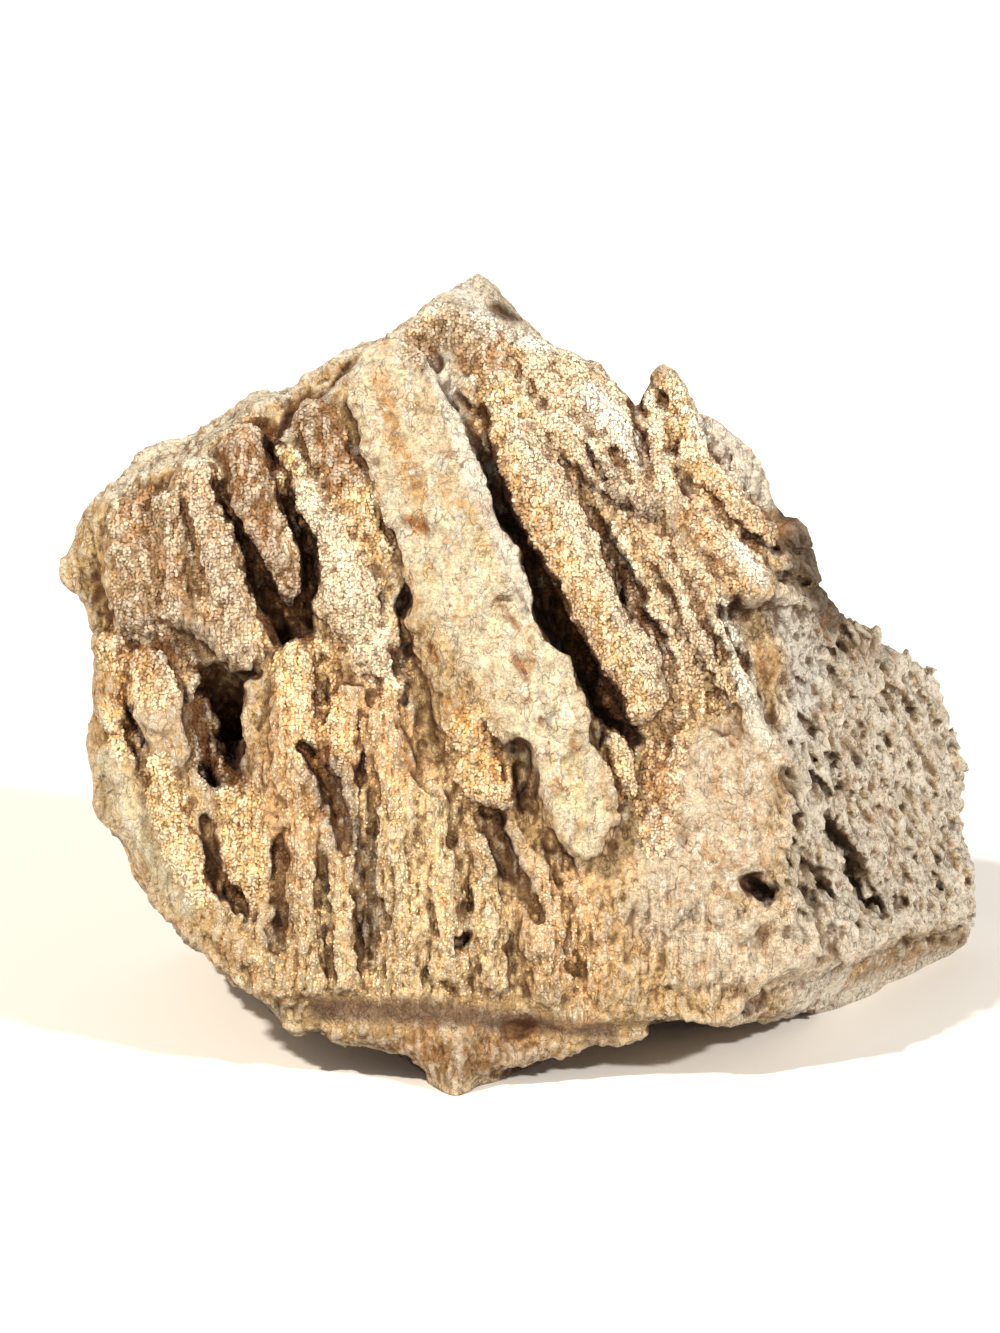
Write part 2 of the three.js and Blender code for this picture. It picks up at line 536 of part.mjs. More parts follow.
const meshField = (fieldAt, low, high, cell) => {
  const span = high.clone().sub(low).toArray();
  const count = span.map((length) => Math.ceil(length / cell) + 1);
  const step = [1, count[0], count[0] * count[1]];
  const values = new Float64Array(step[2] * count[2]);
  const place = (index) => [
    low.x + cell * (index % count[0]),
    low.y + cell * (Math.floor(index / step[1]) % count[1]),
    low.z + cell * Math.floor(index / step[2]),
  ];
  // The lattice's own border counts as outside, so that the mesh always closes.
  const border = (at) => at.some((n, axis) => {
    const inward = Math.round((n - low.getComponent(axis)) / cell);
    return inward === 0 || inward === count[axis] - 1;
  });
  for (let index = 0; index < values.length; index += 1) {
    const at = place(index);
    values[index] = border(at) ? cell : fieldAt(...at) || 1e-9;
  }

  const points = [];
  const faces = [];
  const known = new Map();
  // The point where the surface crosses the edge between an inner and an outer lattice point.
  const crossing = (inner, outer) => {
    const key = Math.min(inner, outer) * values.length + Math.max(inner, outer);
    if (!known.has(key)) {
      const crossed = values[inner] / (values[inner] - values[outer]);
      const share = Math.min(1 - CLEAR, Math.max(CLEAR, crossed));
      const [a, b] = [place(inner), place(outer)];
      known.set(key, points.length);
      points.push(a.map((n, axis) => n + share * (b[axis] - n)));
    }
    return known.get(key);
  };
  // A face is turned so that it looks from the inner corners to the outer ones.
  const face = (a, b, c, inner, outer) => {
    const [p, q, r, from, to] = [points[a], points[b], points[c], place(inner), place(outer)];
    const [e, f] = [q.map((n, i) => n - p[i]), r.map((n, i) => n - p[i])];
    const out = (e[1] * f[2] - e[2] * f[1]) * (to[0] - from[0])
      + (e[2] * f[0] - e[0] * f[2]) * (to[1] - from[1])
      + (e[0] * f[1] - e[1] * f[0]) * (to[2] - from[2]);
    faces.push(out > 0 ? [a, b, c] : [a, c, b]);
  };
  for (let k = 0; k < count[2] - 1; k += 1) {
    for (let j = 0; j < count[1] - 1; j += 1) {
      for (let i = 0; i < count[0] - 1; i += 1) {
        const corner = (n) => i + (n & 1) + step[1] * (j + (n >> 1 & 1)) + step[2] * (k + (n >> 2));
        const inside = [0, 1, 2, 3, 4, 5, 6, 7].filter((n) => values[corner(n)] < 0).length;
        const paths = inside === 0 || inside === 8 ? [] : PATHS;
        for (const [first, second] of paths) {
          const tetra = [0, first, second, 7].map(corner);
          const inner = tetra.filter((n) => values[n] < 0);
          const outer = tetra.filter((n) => values[n] >= 0);
          if (inner.length === 1) {
            face(...outer.map((n) => crossing(inner[0], n)), inner[0], outer[0]);
          } else if (inner.length === 3) {
            face(...inner.map((n) => crossing(n, outer[0])), inner[0], outer[0]);
          } else if (inner.length === 2) {
            const [[a, b], [c, d]] = inner.map((n) => outer.map((m) => crossing(n, m)));
            face(a, b, c, inner[0], outer[0]);
            face(b, c, d, inner[1], outer[1]);
          }
        }
      }
    }
  }
  return { points, faces };
};

// The outermost shell alone: bubbles left inside where cuts meet are dropped.
const largestShell = ({ points, faces }) => {
  const parent = points.map((_, n) => n);
  const root = (n) => {
    let at = n;
    while (parent[at] !== at) {
      parent[at] = parent[parent[at]];
      at = parent[at];
    }
    return at;
  };
  for (const [a, b, c] of faces) {
    parent[root(b)] = root(a);
    parent[root(c)] = root(a);
  }
  const tally = new Map();
  for (const [a] of faces) {
    tally.set(root(a), (tally.get(root(a)) ?? 0) + 1);
  }
  const most = Math.max(...tally.values());
  const shell = [...tally.keys()].find((n) => tally.get(n) === most);
  return { points, faces: faces.filter(([a]) => root(a) === shell) };
};

// Corners drawn half way to the middle of their neighbours, which takes off the lattice's own steps.
const eased = ({ points, faces }, rounds) => {
  let now = points;
  for (let round = 0; round < rounds; round += 1) {
    const sums = now.map(() => [0, 0, 0, 0]);
    for (const [a, b, c] of faces) {
      for (const [corner, next] of [[a, b], [b, c], [c, a]]) {
        const sum = sums[corner];
        now[next].forEach((value, axis) => {
          sum[axis] += value;
        });
        sum[3] += 1;
      }
    }
    const last = now;
    const drawn = ([x, y, z, n], i) => [x, y, z].map((m, axis) => (m / n + last[i][axis]) / 2);
    now = sums.map((sum, i) => (sum[3] > 0 ? drawn(sum, i) : last[i]));
  }
  return { points: now, faces };
};

// ---------------------------------------------------------------- thinning the mesh

// Edges are closed up, cheapest first. The cost is how far the new corner leaves the planes of the
// faces it stands for, kept as the ten numbers of a symmetric 4 by 4 matrix at each corner.
const cross = (p, q, r) => {
  const [a, b, c] = [q[0] - p[0], q[1] - p[1], q[2] - p[2]];
  const [d, e, f] = [r[0] - p[0], r[1] - p[1], r[2] - p[2]];
  return [b * f - c * e, c * d - a * f, a * e - b * d];
};

const apart = (p, q) => Math.hypot(p[0] - q[0], p[1] - q[1], p[2] - q[2]);

const leaving = (m, [x, y, z]) => m[0] * x * x + m[4] * y * y + m[7] * z * z + m[9]
  + 2 * (m[1] * x * y + m[2] * x * z + m[3] * x + m[5] * y * z + m[6] * y + m[8] * z);

// The place that leaves the planes least, or nothing where the planes don't fix one.
const settled = (m) => {
  const [a, b, c, d, e, f] = [m[0], m[1], m[2], m[4], m[5], m[7]];
  const [p, q, r] = [d * f - e * e, c * e - b * f, b * e - c * d];
  const whole = a * p + b * q + c * r;
  const size = (a + d + f) / 3;
  if (Math.abs(whole) < FLATTEST * size ** 3) {
    return null;
  }
  const [s, t, w] = [a * f - c * c, b * c - a * e, a * d - b * b];
  return [
    -(p * m[3] + q * m[6] + r * m[8]) / whole,
    -(q * m[3] + s * m[6] + t * m[8]) / whole,
    -(r * m[3] + t * m[6] + w * m[8]) / whole,
  ];
};

// A queue that always gives back its cheapest item.
class Queue {
  constructor() {
    this.items = [];
  }

  push(item) {
    const { items } = this;
    let at = items.push(item) - 1;
    while (at > 0) {
      const above = (at - 1) >> 1;
      if (items[above].cost <= items[at].cost) {
        break;
      }
      [items[above], items[at]] = [items[at], items[above]];
      at = above;
    }
  }

  pop() {
    const { items } = this;
    const first = items[0];
    const last = items.pop();
    if (items.length === 0) {
      return first;
    }
    items[0] = last;
    let at = 0;
    for (;;) {
      let least = at;
      for (const below of [2 * at + 1, 2 * at + 2]) {
        if (below < items.length && items[below].cost < items[least].cost) {
          least = below;
        }
      }
      if (least === at) {
        return first;
      }
      [items[least], items[at]] = [items[at], items[least]];
      at = least;
    }
  }
}

const thinned = ({ points, faces }, wanted, care) => {
  const planes = points.map(() => new Float64Array(10));
  const around = points.map(() => new Set());
  const stamp = new Int32Array(points.length);
  faces.forEach(([a, b, c], index) => {
    const normal = cross(points[a], points[b], points[c]);
    const area = Math.hypot(...normal);
    for (const corner of [a, b, c]) {
      around[corner].add(index);
    }
    if (area === 0) {
      return;
    }
    const [x, y, z] = normal.map((n) => n / area);
    const [px, py, pz] = points[a];
    const level = -(x * px + y * py + z * pz);
    const weight = area * care(points[a]);
    const terms = [x * x, x * y, x * z, x * level, y * y, y * z, y * level, z * z, z * level, level * level];
    for (const corner of [a, b, c]) {
      terms.forEach((term, n) => {
        planes[corner][n] += weight * term;
      });
    }
  });
  const neighbours = (corner) => {
    const near = new Set();
    for (const index of around[corner]) {
      faces[index].forEach((other) => near.add(other));
    }
    near.delete(corner);
    return near;
  };
  const queue = new Queue();
  const offer = (a, b) => {
    const sum = planes[a].map((n, i) => n + planes[b][i]);
    const half = points[a].map((n, i) => (n + points[b][i]) / 2);
    const length = apart(points[a], points[b]);
    const best = settled(sum);
    const choices = [points[a], points[b], half];
    if (best && apart(best, half) < length) {
      choices.push(best);
    }
    const costs = choices.map((choice) => leaving(sum, choice));
    const cost = Math.min(...costs);
    const spread = SPREAD * length ** 3 * care(half);
    const place = choices[costs.indexOf(cost)];
    queue.push({ cost: cost + spread, a, b, place, sum, markA: stamp[a], markB: stamp[b] });
  };
  // Moving a corner may not turn a face over or squeeze it flat.
  const sound = (corner, gone, place) => {
    for (const index of around[corner]) {
      if (faces[index].includes(gone)) {
        continue;
      }
      const before = cross(...faces[index].map((n) => points[n]));
      const after = cross(...faces[index].map((n) => (n === corner ? place : points[n])));
      const sizes = Math.hypot(...before) * Math.hypot(...after);
      const agree = before[0] * after[0] + before[1] * after[1] + before[2] * after[2];
      const [p, q, r] = faces[index].map((n) => (n === corner ? place : points[n]));
      const longest = Math.max(apart(p, q), apart(q, r), apart(r, p));
      if (Math.hypot(...after) < SLIVER * longest ** 2 || agree < LEAST_TURN * sizes) {
        return false;
      }
    }
    return true;
  };
  faces.forEach(([a, b, c]) => {
    for (const [p, q] of [[a, b], [b, c], [c, a]]) {
      if (p < q) {
        offer(p, q);
      }
    }
  });
  let left = faces.length;
  while (left > wanted && queue.items.length > 0) {
    const { a, b, place, sum, markA, markB } = queue.pop();
    if (stamp[a] !== markA || stamp[b] !== markB) {
      continue;
    }
    const nearB = neighbours(b);
    const shared = [...neighbours(a)].filter((n) => nearB.has(n));
    const closable = shared.length === 2 && shared.every((n) => around[n].size > 3);
    if (!closable || !sound(a, b, place) || !sound(b, a, place)) {
      continue;
    }
    for (const index of [...around[b]]) {
      if (faces[index].includes(a)) {
        faces[index].forEach((corner) => around[corner].delete(index));
        faces[index] = null;
        left -= 1;
      } else {
        faces[index] = faces[index].map((n) => (n === b ? a : n));
        around[a].add(index);
      }
    }
    points[a] = place;
    planes[a] = sum;
    stamp[a] += 1;
    stamp[b] = -1;
    neighbours(a).forEach((other) => offer(a, other));
  }
  return { points, faces: faces.filter((corners) => corners !== null) };
};

// ---------------------------------------------------------------- the solid

const geometryOf = ({ points, faces }) => {
  const positions = faces.flatMap((corners) => corners.flatMap((n) => points[n]));
  const geometry = new THREE.BufferGeometry();
  geometry.setAttribute('position', new THREE.Float32BufferAttribute(positions, 3));
  return geometry;
};

const wasm = await Module();
wasm.setup();

const solidOf = (geometry) => {
  const bare = geometry.clone();
  bare.deleteAttribute('normal');
  bare.deleteAttribute('uv');
  const merged = mergeVertices(bare, 1e-5);
  return new wasm.Manifold(new wasm.Mesh({
    numProp: 3,
    vertProperties: merged.attributes.position.array,
    triVerts: merged.index.array,
  }));
};

// The lump is trimmed level with the ground, which gives the flat face that it rests on.
const restingOn = (solid) => {
  const span = 500;
  const ground = new THREE.BoxGeometry(span, span, span).translate(0, 0, -span / 2);
  return solid.subtract(solidOf(ground));
};

// Ribs get more care than the broken back.
const care = ([, y]) => 1 + (FRONT_CARE - 1) * THREE.MathUtils.smoothstep(-y, -110, -50);

const dense = eased(largestShell(meshField(stoneField, LOWER, UPPER, CELL)), EASING);
const stone = thinned(dense, TRIANGLES, care);
const trimmed = restingOn(solidOf(geometryOf(stone))).getMesh();
const wood = new THREE.BufferGeometry();
wood.setAttribute('position', new THREE.BufferAttribute(trimmed.vertProperties, 3));
wood.setIndex(new THREE.BufferAttribute(trimmed.triVerts, 1));
wood.computeBoundingBox();
const centre = wood.boundingBox.getCenter(new THREE.Vector3());
wood.translate(-centre.x, -centre.y, 0);
wood.computeVertexNormals();

const petrifiedWood = new THREE.Mesh(wood, new THREE.MeshStandardMaterial(STONE));
petrifiedWood.name = 'petrified_wood';

const specimen = new THREE.Group();
specimen.add(petrifiedWood);

export default specimen;
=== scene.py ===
# %% [markdown]
# # Petrified wood
#
# One broken lump of silicified wood. Its front carries ribs that run down and to the right, the
# right flank is porous, the top and the back are old fracture faces, and it rests on a flat
# underside with a keel under the middle.
#
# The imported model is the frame: it gives the place and the outer size. Everything below is
# worked in millimetres and is fitted into that frame at the end.

# %% Load the frame
import json
import math

import bmesh
import bpy
import numpy as np
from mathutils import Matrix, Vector, noise

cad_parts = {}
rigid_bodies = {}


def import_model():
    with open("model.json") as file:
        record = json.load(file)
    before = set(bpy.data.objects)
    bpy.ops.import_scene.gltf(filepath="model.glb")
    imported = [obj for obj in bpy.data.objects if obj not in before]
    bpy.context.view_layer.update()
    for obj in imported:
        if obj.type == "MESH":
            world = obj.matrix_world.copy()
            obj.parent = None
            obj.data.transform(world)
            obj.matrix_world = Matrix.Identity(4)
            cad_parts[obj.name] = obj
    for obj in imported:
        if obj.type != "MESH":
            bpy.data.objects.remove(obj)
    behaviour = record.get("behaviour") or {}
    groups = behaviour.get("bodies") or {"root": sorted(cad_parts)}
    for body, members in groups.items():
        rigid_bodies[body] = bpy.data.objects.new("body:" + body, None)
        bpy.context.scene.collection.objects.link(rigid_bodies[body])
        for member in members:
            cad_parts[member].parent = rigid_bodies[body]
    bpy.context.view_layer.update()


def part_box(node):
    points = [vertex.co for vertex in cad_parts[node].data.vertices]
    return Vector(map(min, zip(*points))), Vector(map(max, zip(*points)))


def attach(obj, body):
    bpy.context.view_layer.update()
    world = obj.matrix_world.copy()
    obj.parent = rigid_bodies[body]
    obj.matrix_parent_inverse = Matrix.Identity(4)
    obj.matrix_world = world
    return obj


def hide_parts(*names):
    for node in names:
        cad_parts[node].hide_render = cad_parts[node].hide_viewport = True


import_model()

WOOD = "petrified_wood"
box_lo, box_hi = (np.array(corner) * 1000 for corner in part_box(WOOD))
print("frame:", WOOD, "box in mm", box_lo.round(1), box_hi.round(1))

# %% [markdown]
# ## The leaning frame
#
# The ribbed face leans back by 18 degrees. All that is seen on it is placed in a frame that leans
# with it: u to the right, v up the face and w straight out of it, all in millimetres, starting at
# the near tip of the keel. A lattice of samples fills that frame.

# %% Lattice in the leaning frame
LEAN = math.radians(18)
RISE, RUN = math.sin(LEAN), math.cos(LEAN)
CELL = 1.3   # from sample to sample
LOWEST, HIGHEST = (-162, -17, -200), (162, 277, 33)

AXES = [np.arange(low, high, CELL, dtype=np.float32) for low, high in zip(LOWEST, HIGHEST)]
U, V, W = np.meshgrid(*AXES, indexing="ij", sparse=True)


def lean(place):
    """A place or direction x, y, z turned into u, v, w."""
    x, y, z = place
    return x, y * RISE + z * RUN, z * RISE - y * RUN


def stand(uvw):
    """Rows of u, v, w turned back into rows of x, y, z."""
    u, v, w = uvw.T
    return np.stack([u, v * RISE - w * RUN, v * RUN + w * RISE], axis=1)


print("lattice:", [len(axis) for axis in AXES], "samples", CELL, "mm apart")

# %% [markdown]
# ## Stone as a field
#
# A field is a number at every sample, negative inside the stone and about the distance to its
# surface elsewhere. Two fields join by the smaller number and cut by the larger, both with a
# soft corner. That is close to how the lump came about: flat breaks first, then growth on them,
# then what wore or broke away.

# %% Joining, cutting and fracture planes


def joined(a, b, k):
    """Two fields as one body, with the corner between them filled over a width k."""
    near = np.maximum(k - np.abs(a - b), 0) / k
    return np.minimum(a, b) - near * near * (k / 4)


def common(a, b, k):
    """What two fields share, with the corner rounded over a width k."""
    return -joined(-a, -b, k)


def facing(place, direction):
    """A fracture plane through a place, facing along a direction, both in u, v, w."""
    normal = np.array(direction, dtype=np.float32)
    normal /= np.linalg.norm(normal)
    return (*normal, float(normal @ np.array(place)))


def upright(place, direction):
    """The same for a plane that is easier to give in x, y, z."""
    return facing(lean(place), lean(direction))


def between(planes, rounding):
    """The field of the block that all the planes enclose."""
    field = None
    for a, b, c, level in planes:
        side = a * U + b * V + c * W - np.float32(level)
        field = side if field is None else common(field, side, rounding)
    return field


def tell(what):
    """Prints how much stone there is once a step is done."""
    print(f"{what}: {(field < 0).sum() * CELL ** 3 / 1e6:.3f} litres of stone")


# %% [markdown]
# ## The block
#
# Before anything grew on it the lump was a block between flat breaks. Each plane is given by a
# place on it and the way it faces. The keel and its nose, on which the front rests, are two
# smaller blocks, and a few more are bitten off where layers came away.

# %% Block, keel and bites
FLANK_EDGE = 88               # where the porous right flank turns away from the ribbed face
FLANK_OUT = (0.866, 0, 0.5)   # the way it faces, 60 degrees from the ribbed face

BLOCK = [
    facing((0, 110, 5), (0, 0, 1)),                    # ribbed face, at the level of its troughs
    facing((0, 195, 3), (0, 0.17, 0.985)),             # its upper third leans further back
    facing((-98, 150, 2), (-0.28, 0, 0.96)),           # it turns away on the left
    facing((62, 120, 3), (0.22, 0.02, 0.975)),         # and a little on the right
    facing((FLANK_EDGE, 120, 0), FLANK_OUT),           # porous right flank
    facing((-100, 224, 0), (-0.42, 0.907, 0)),         # pale top, falling to the left and back
    facing((-120, 204, 0), (-0.464, 0.736, 0.423)),    # bevel between the top and the rib heads
    facing((82, 207.5, -6), (0.6, 0.77, -0.2)),        # slope down to the right of the summit
    facing((144, 129, -95), (0.73, 0.45, -0.1)),       # outer end of the slope over the flank
    facing((153, 80, -112), (0.985, 0.09, -0.14)),     # right end
    facing((-160.5, 174, -20), (-0.93, 0.31, -0.2)),   # left end
    facing((-132, 77, 0), (-0.83, -0.56, 0)),          # overhang at the lower left
    facing((-91, 34.5, 0), (-0.59, -0.807, 0)),        # its shallower lower part
    upright((60, 4, 22), (0, -0.29, -0.957)),          # underside, rising to the front
    facing((-35, 31, 8), (-0.1, -0.74, 0.67)),         # sheared band along the front of the underside
    upright((108, 51, 31), (0.711, -0.512, -0.481)),   # smooth underface at the lower right
    upright((20, 174, 90), (0.08, 0.985, 0.1)),        # back
    upright((-105, 125, 110), (-0.66, 0.73, 0.15)),    # back left
    upright((135, 165, 60), (0.5, 0.85, 0.1)),         # back right
    upright((-30, 150, 205), (-0.15, 0.72, 0.68)),     # slope from the summit to the back
]
KEEL = [   # the low ridge under the middle, on which the front rests
    upright((-36, 33, 0), (-0.549, -0.836, -0.1)),
    upright((-88, 90, 0), (-0.95, -0.3, -0.2)),
    upright((1, 24, 0), (0.658, -0.752, -0.1)),
    upright((0, 0, 38), (0, 0, 1)),
    upright((0, 120, 0), (0, 1, 0)),
    upright((95, 90, 0), (1, 0, 0)),
]
NOSE = [   # the keel's tip, a little in front of it
    upright((-25, -4, 0), (-0.922, -0.389, 0.1)),
    upright((-17, -4, 0), (0.778, -0.629, 0.1)),
    upright((0, 0, 26), (0, -0.3, 1)),
    upright((0, 60, 0), (0, 1, 0)),
]
BITES = [
    # the step under the far left rib heads
    [facing((-140, 140, -15), (1, -0.1, 0.2)), facing((-149, 163, -15), (0.845, 0.538, 0.12))],
    # the notch that sets the summit apart from the shoulder
    [facing((44, 232, -10), (0.93, -0.37, 0.15)), facing((10, 246, -6), (-0.6, -0.77, 0.2))],
    # two layers off the slope over the flank
    [facing((85, 195, -5), (-1, -0.1, 0.3)), facing((91, 189, -5), (-0.4, -0.87, 0.2))],
    [facing((99, 170, -20), (-1, -0.1, 0.3)), facing((106, 158, -31), (-0.343, -0.86, 0.1))],
]

field = joined(between(BLOCK, 2.5), joined(between(KEEL, 3), between(NOSE, 5), 6), 5)
for bite in BITES:
    field = common(field, -between(bite, 3), 3)
tell("block")

# %% [markdown]
# ## Slow swells
#
# A broken face of silica is never flat. A few long waves that bend one another lift and sink the
# planes by a millimetre or so.

# %% Swells


def waves(rows):
    """Rows of length, direction and height, with the slow wander of each crest."""
    total = 0
    for i, (length, direction, height) in enumerate(rows):
        a, b, c = np.array(direction) / np.linalg.norm(direction) * 2 * math.pi / length
        wander = np.sin((b * U - a * V) * 0.7 + c * W)
        total = total + height * np.sin(a * U + b * V + c * W + 1.7 * i + wander)
    return total.astype(np.float32)


field += waves([(41, (0.8, 0.5, 0.33), 1.1), (29, (-0.4, 0.9, 0.2), 0.9), (23, (0.5, -0.3, 0.8), 0.7)])
tell("swells")

# %% [markdown]
# ## Ribs, bars, grooves and pits
#
# A rib is a round stem along a line that grows on to the face. A bar is the same with a flat top.
# Grooves and pits are taken out again. Each is worked only in its own part of the lattice, which
# keeps some hundred of them quick. The lattice is bent a little first, so that nothing that is
# measured in it comes out ruled.

# %% The bent lattice
REACH = 9   # a feature is still felt this far outside its own box


def bend(crosswise, other, length, height):
    """A slow wander of one direction along two others: a long wave, a shorter and a short one."""
    first = np.sin(crosswise / length + 1.3 * np.sin(other / (length * 1.7)))
    second = np.sin(crosswise / (length * 0.47) + other / length + 2.0)
    third = np.sin(crosswise / (length * 0.21) - other / (length * 0.33) + 0.9 * second)
    return height * (first + 0.6 * second + 0.45 * third)


BENT = [U + bend(V, W, 6.1, 0.75), V + bend(U, W, 5.3, 0.7), W + bend(V, U, 7.2, 0.5)]
most = [round(float(np.abs(bent - axis).max()), 1) for bent, axis in zip(BENT, (U, V, W))]
print("bent by up to", most, "mm")

# %% Stems: ribs, grooves and tunnels


def work(distance, points, widest, blend, cuts):
    """Joins a feature to the field, or cuts it out, in the box round its points."""
    spots = np.array(points, dtype=float)[:, :3]
    margin = REACH + blend + widest
    ends = zip(AXES, spots.min(axis=0) - margin, spots.max(axis=0) + margin)
    box = tuple(slice(*np.searchsorted(axis, (low, high))) for axis, low, high in ends)
    here = distance(*(bent[box] for bent in BENT))
    part = field[box]
    field[box] = common(part, -here, blend) if cuts else joined(part, here, blend)


def stem(points, flat, spread=None):
    """Distance from a round stem through points (u, v, w, radius); flat > 1 makes it low and wide.

    With a spread it is a trench, open to the outside and wider by that much per millimetre."""
    def distance(u, v, w):
        best = 1000.0
        for (au, av, aw, ar), (bu, bv, bw, br) in zip(points, points[1:]):
            du, dv, dw = bu - au, bv - av, bw - aw
            along = (u - au) * du + (v - av) * dv + (w - aw) * dw
            t = np.clip(along / (du * du + dv * dv + dw * dw), 0, 1)
            across = (u - au - t * du) ** 2 + (v - av - t * dv) ** 2
            out = (w - aw - t * dw) * flat
            radius = ar + t * (br - ar)
            if spread is not None:
                radius = radius + spread * np.maximum(out, 0)
                out = np.minimum(out, 0)
            best = np.minimum(best, np.sqrt(across + out * out) - radius)
        return best
    return distance


def rib(points, blend=4, flat=1):
    """Round rib that grows on to the face; points are (u, v, w, radius)."""
    work(stem(points, flat), points, max(p[3] for p in points), blend, False)


def groove(points, blend=3, spread=0.15):
    """Trench with a round floor, open to the outside."""
    work(stem(points, 1, spread), points, max(p[3] for p in points), blend, True)


def tunnel(points, blend=2):
    """Round hole along a line, closed all round."""
    work(stem(points, 1), points, max(p[3] for p in points), blend, True)


straight = stem([(0, 0, 0, 5), (0, 20, 0, 5)], 1)
print("stem of radius 5: 8 mm from its middle is", round(float(straight(8, 10, 0)), 2), "mm outside")

# %% Bars, lumps and pits


def bar(points, thick, tilt=0, edge=2, blend=3):
    """Flat-topped bar through points (u, v, w, half width), tilted across its width."""
    def distance(u, v, w):
        best = 1000.0
        for (au, av, aw, ah), (bu, bv, bw, bh) in zip(points, points[1:]):
            span = math.hypot(bu - au, bv - av)
            s, t = (bu - au) / span, (bv - av) / span
            run = (u - au) * s + (v - av) * t
            part = np.clip(run / span, 0, 1)
            side = (u - au) * t - (v - av) * s
            past = np.maximum(np.maximum(-run, run - span), 0)
            wide = np.abs(side) - ah - part * (bh - ah) + edge
            high = np.abs(w - aw - part * (bw - aw) - side * tilt) - thick / 2 + edge
            outside = np.sqrt(np.maximum(wide, 0) ** 2 + np.maximum(high, 0) ** 2 + past ** 2)
            best = np.minimum(best, outside + np.minimum(np.maximum(wide, high), 0) - edge)
        return best
    work(distance, points, max(thick, *(p[3] for p in points)), blend, False)


def egg(place, size, degrees):
    """Distance from an egg with three half sizes, turned in the leaning face."""
    c, s = math.cos(math.radians(degrees)), math.sin(math.radians(degrees))

    def distance(u, v, w):
        du, dv, dw = u - place[0], v - place[1], w - place[2]
        p, q, r = (du * c + dv * s) / size[0], (dv * c - du * s) / size[1], dw / size[2]
        return (np.sqrt(p * p + q * q + r * r) - 1) * min(size)
    return distance


def lump(place, size, degrees=0, blend=5):
    """Egg-shaped swelling."""
    work(egg(place, size, degrees), [place], max(size), blend, False)


def pit(place, size, degrees=0, blend=1.5):
    """Egg-shaped hollow."""
    work(egg(place, size, degrees), [place], max(size), blend, True)


round_egg = egg((0, 0, 0), (4, 4, 4), 0)
print("egg of half size 4: 6 mm from its middle is", round(float(round_egg(6, 0, 0)), 2), "mm outside")

# %% [markdown]
# ## The summit and the upper right
#
# The top of the lump is a block between breaks, with rounded ribs that run down from it and fan
# out to the right. Each rib follows the path that it takes on the face, so the dark gaps between
# them fall where they belong, and the gaps that a soft join would fill are cut again.

# %% Summit
SUMMIT = [
    facing((-29, 260.5, -12), (-0.686, 0.727, -0.15)),
    facing((-4, 260, -14), (0.75, 0.66, 0.05)),
    facing((-14, 250, -1), (0.1, 0.1, 1)),
    facing((-13, 260, -6), (0.15, 0.75, 0.65)),   # its pale bevel
    facing((12, 236, -10), (0.95, 0, 0.3)),
    facing((0, 215, 0), (0, -1, 0)),
    facing((0, 240, -60), (0, 0, -1)),
]
field = joined(field, between(SUMMIT, 2), 3)
rib([(-34, 249, -4, 6), (-26, 240, 0, 6.5), (-18, 230, 3, 6)], flat=1.2)
rib([(-27, 257, -9, 6), (-15, 246, -3, 8), (-6, 234, 1, 7), (2, 227, 3, 5)], flat=1.2)
pit((-3, 260, -8), (9, 3.5, 8), -45)
tell("summit")

# %% Lobes to the right of it
rib([(-6, 249, -6, 5), (3, 243, -3, 6), (8, 233, 2, 6), (13, 226, 4, 5)], blend=2.5)
rib([(5, 245, -9, 5.5), (14, 240, -6, 7), (21, 231, -1, 7.5), (29, 221, 2, 7), (36, 211, 4, 5)], blend=2.5)
rib([(25, 235, -7, 5), (31, 228, -4, 5), (37, 217, 0, 4)], blend=3)
rib([(8, 223, 4, 5), (17, 214, 7, 6), (24, 206, 8, 5.5)], blend=2)
rib([(22, 216, 4, 5), (29, 206, 7, 5.5), (34, 199, 7, 5)], blend=2)
rib([(33, 210, 3, 5), (40, 200, 6, 5.5), (46, 192, 6, 5)], blend=2)
rib([(43, 224, -6, 3), (45, 215, 0, 4), (48, 203, 4, 5), (53, 194, 5, 5)], blend=2)

# Gaps between the lobes.
groove([(2, 238, 5, 1.2), (8, 228, 8, 1.5)], blend=1.5)
groove([(15, 231, 6, 1.2), (22, 220, 8, 1.5), (27, 212, 9, 1.5)], blend=1.5)
groove([(21, 214, 10, 1.2), (28, 203, 10, 1.6)], blend=1.5)
groove([(31, 212, 8, 1.5), (37, 202, 9, 1.6)], blend=1.5)
groove([(38, 227, -2, 2.5), (40, 216, 3, 2), (43, 204, 8, 1.5)], blend=1.5)

# The lobes end in an overhang.
pit((15, 206, 3), (4, 6, 7), 35)
pit((26, 197, 4), (7, 3, 6), -25)
pit((41, 190, 5), (8, 2.5, 5), -30)
tell("lobes")

# %% The finger on the shoulder and the ribs below it
rib([(49, 236.5, -9, 5), (53, 226, -5, 5.5), (58, 213, -1, 5)], blend=1.5)
groove([(46, 233, -4, 1.2), (48, 222, 1, 1.5), (50, 212, 5, 2)], blend=1)
groove([(57, 231, -6, 1.5), (62, 219, -2, 2.5), (70, 206, 0, 2.5)], blend=2)
pit((53, 204.5, 3), (2.5, 3, 7))
rib([(57, 208, 2, 5), (65, 200, 4, 6), (73, 191, 4, 6.5), (80, 183, 2, 5.5)], blend=3)
groove([(60, 198, 6, 2.5), (67, 190, 5, 3.5), (79, 177, 3, 3.5)], blend=2)
rib([(54, 193, 3, 5), (62, 184, 6, 7), (70, 175, 6, 7.5), (78, 167, 4, 7)], blend=3)
pit((84, 156, 4), (6, 6, 8), -30)
tell("finger")

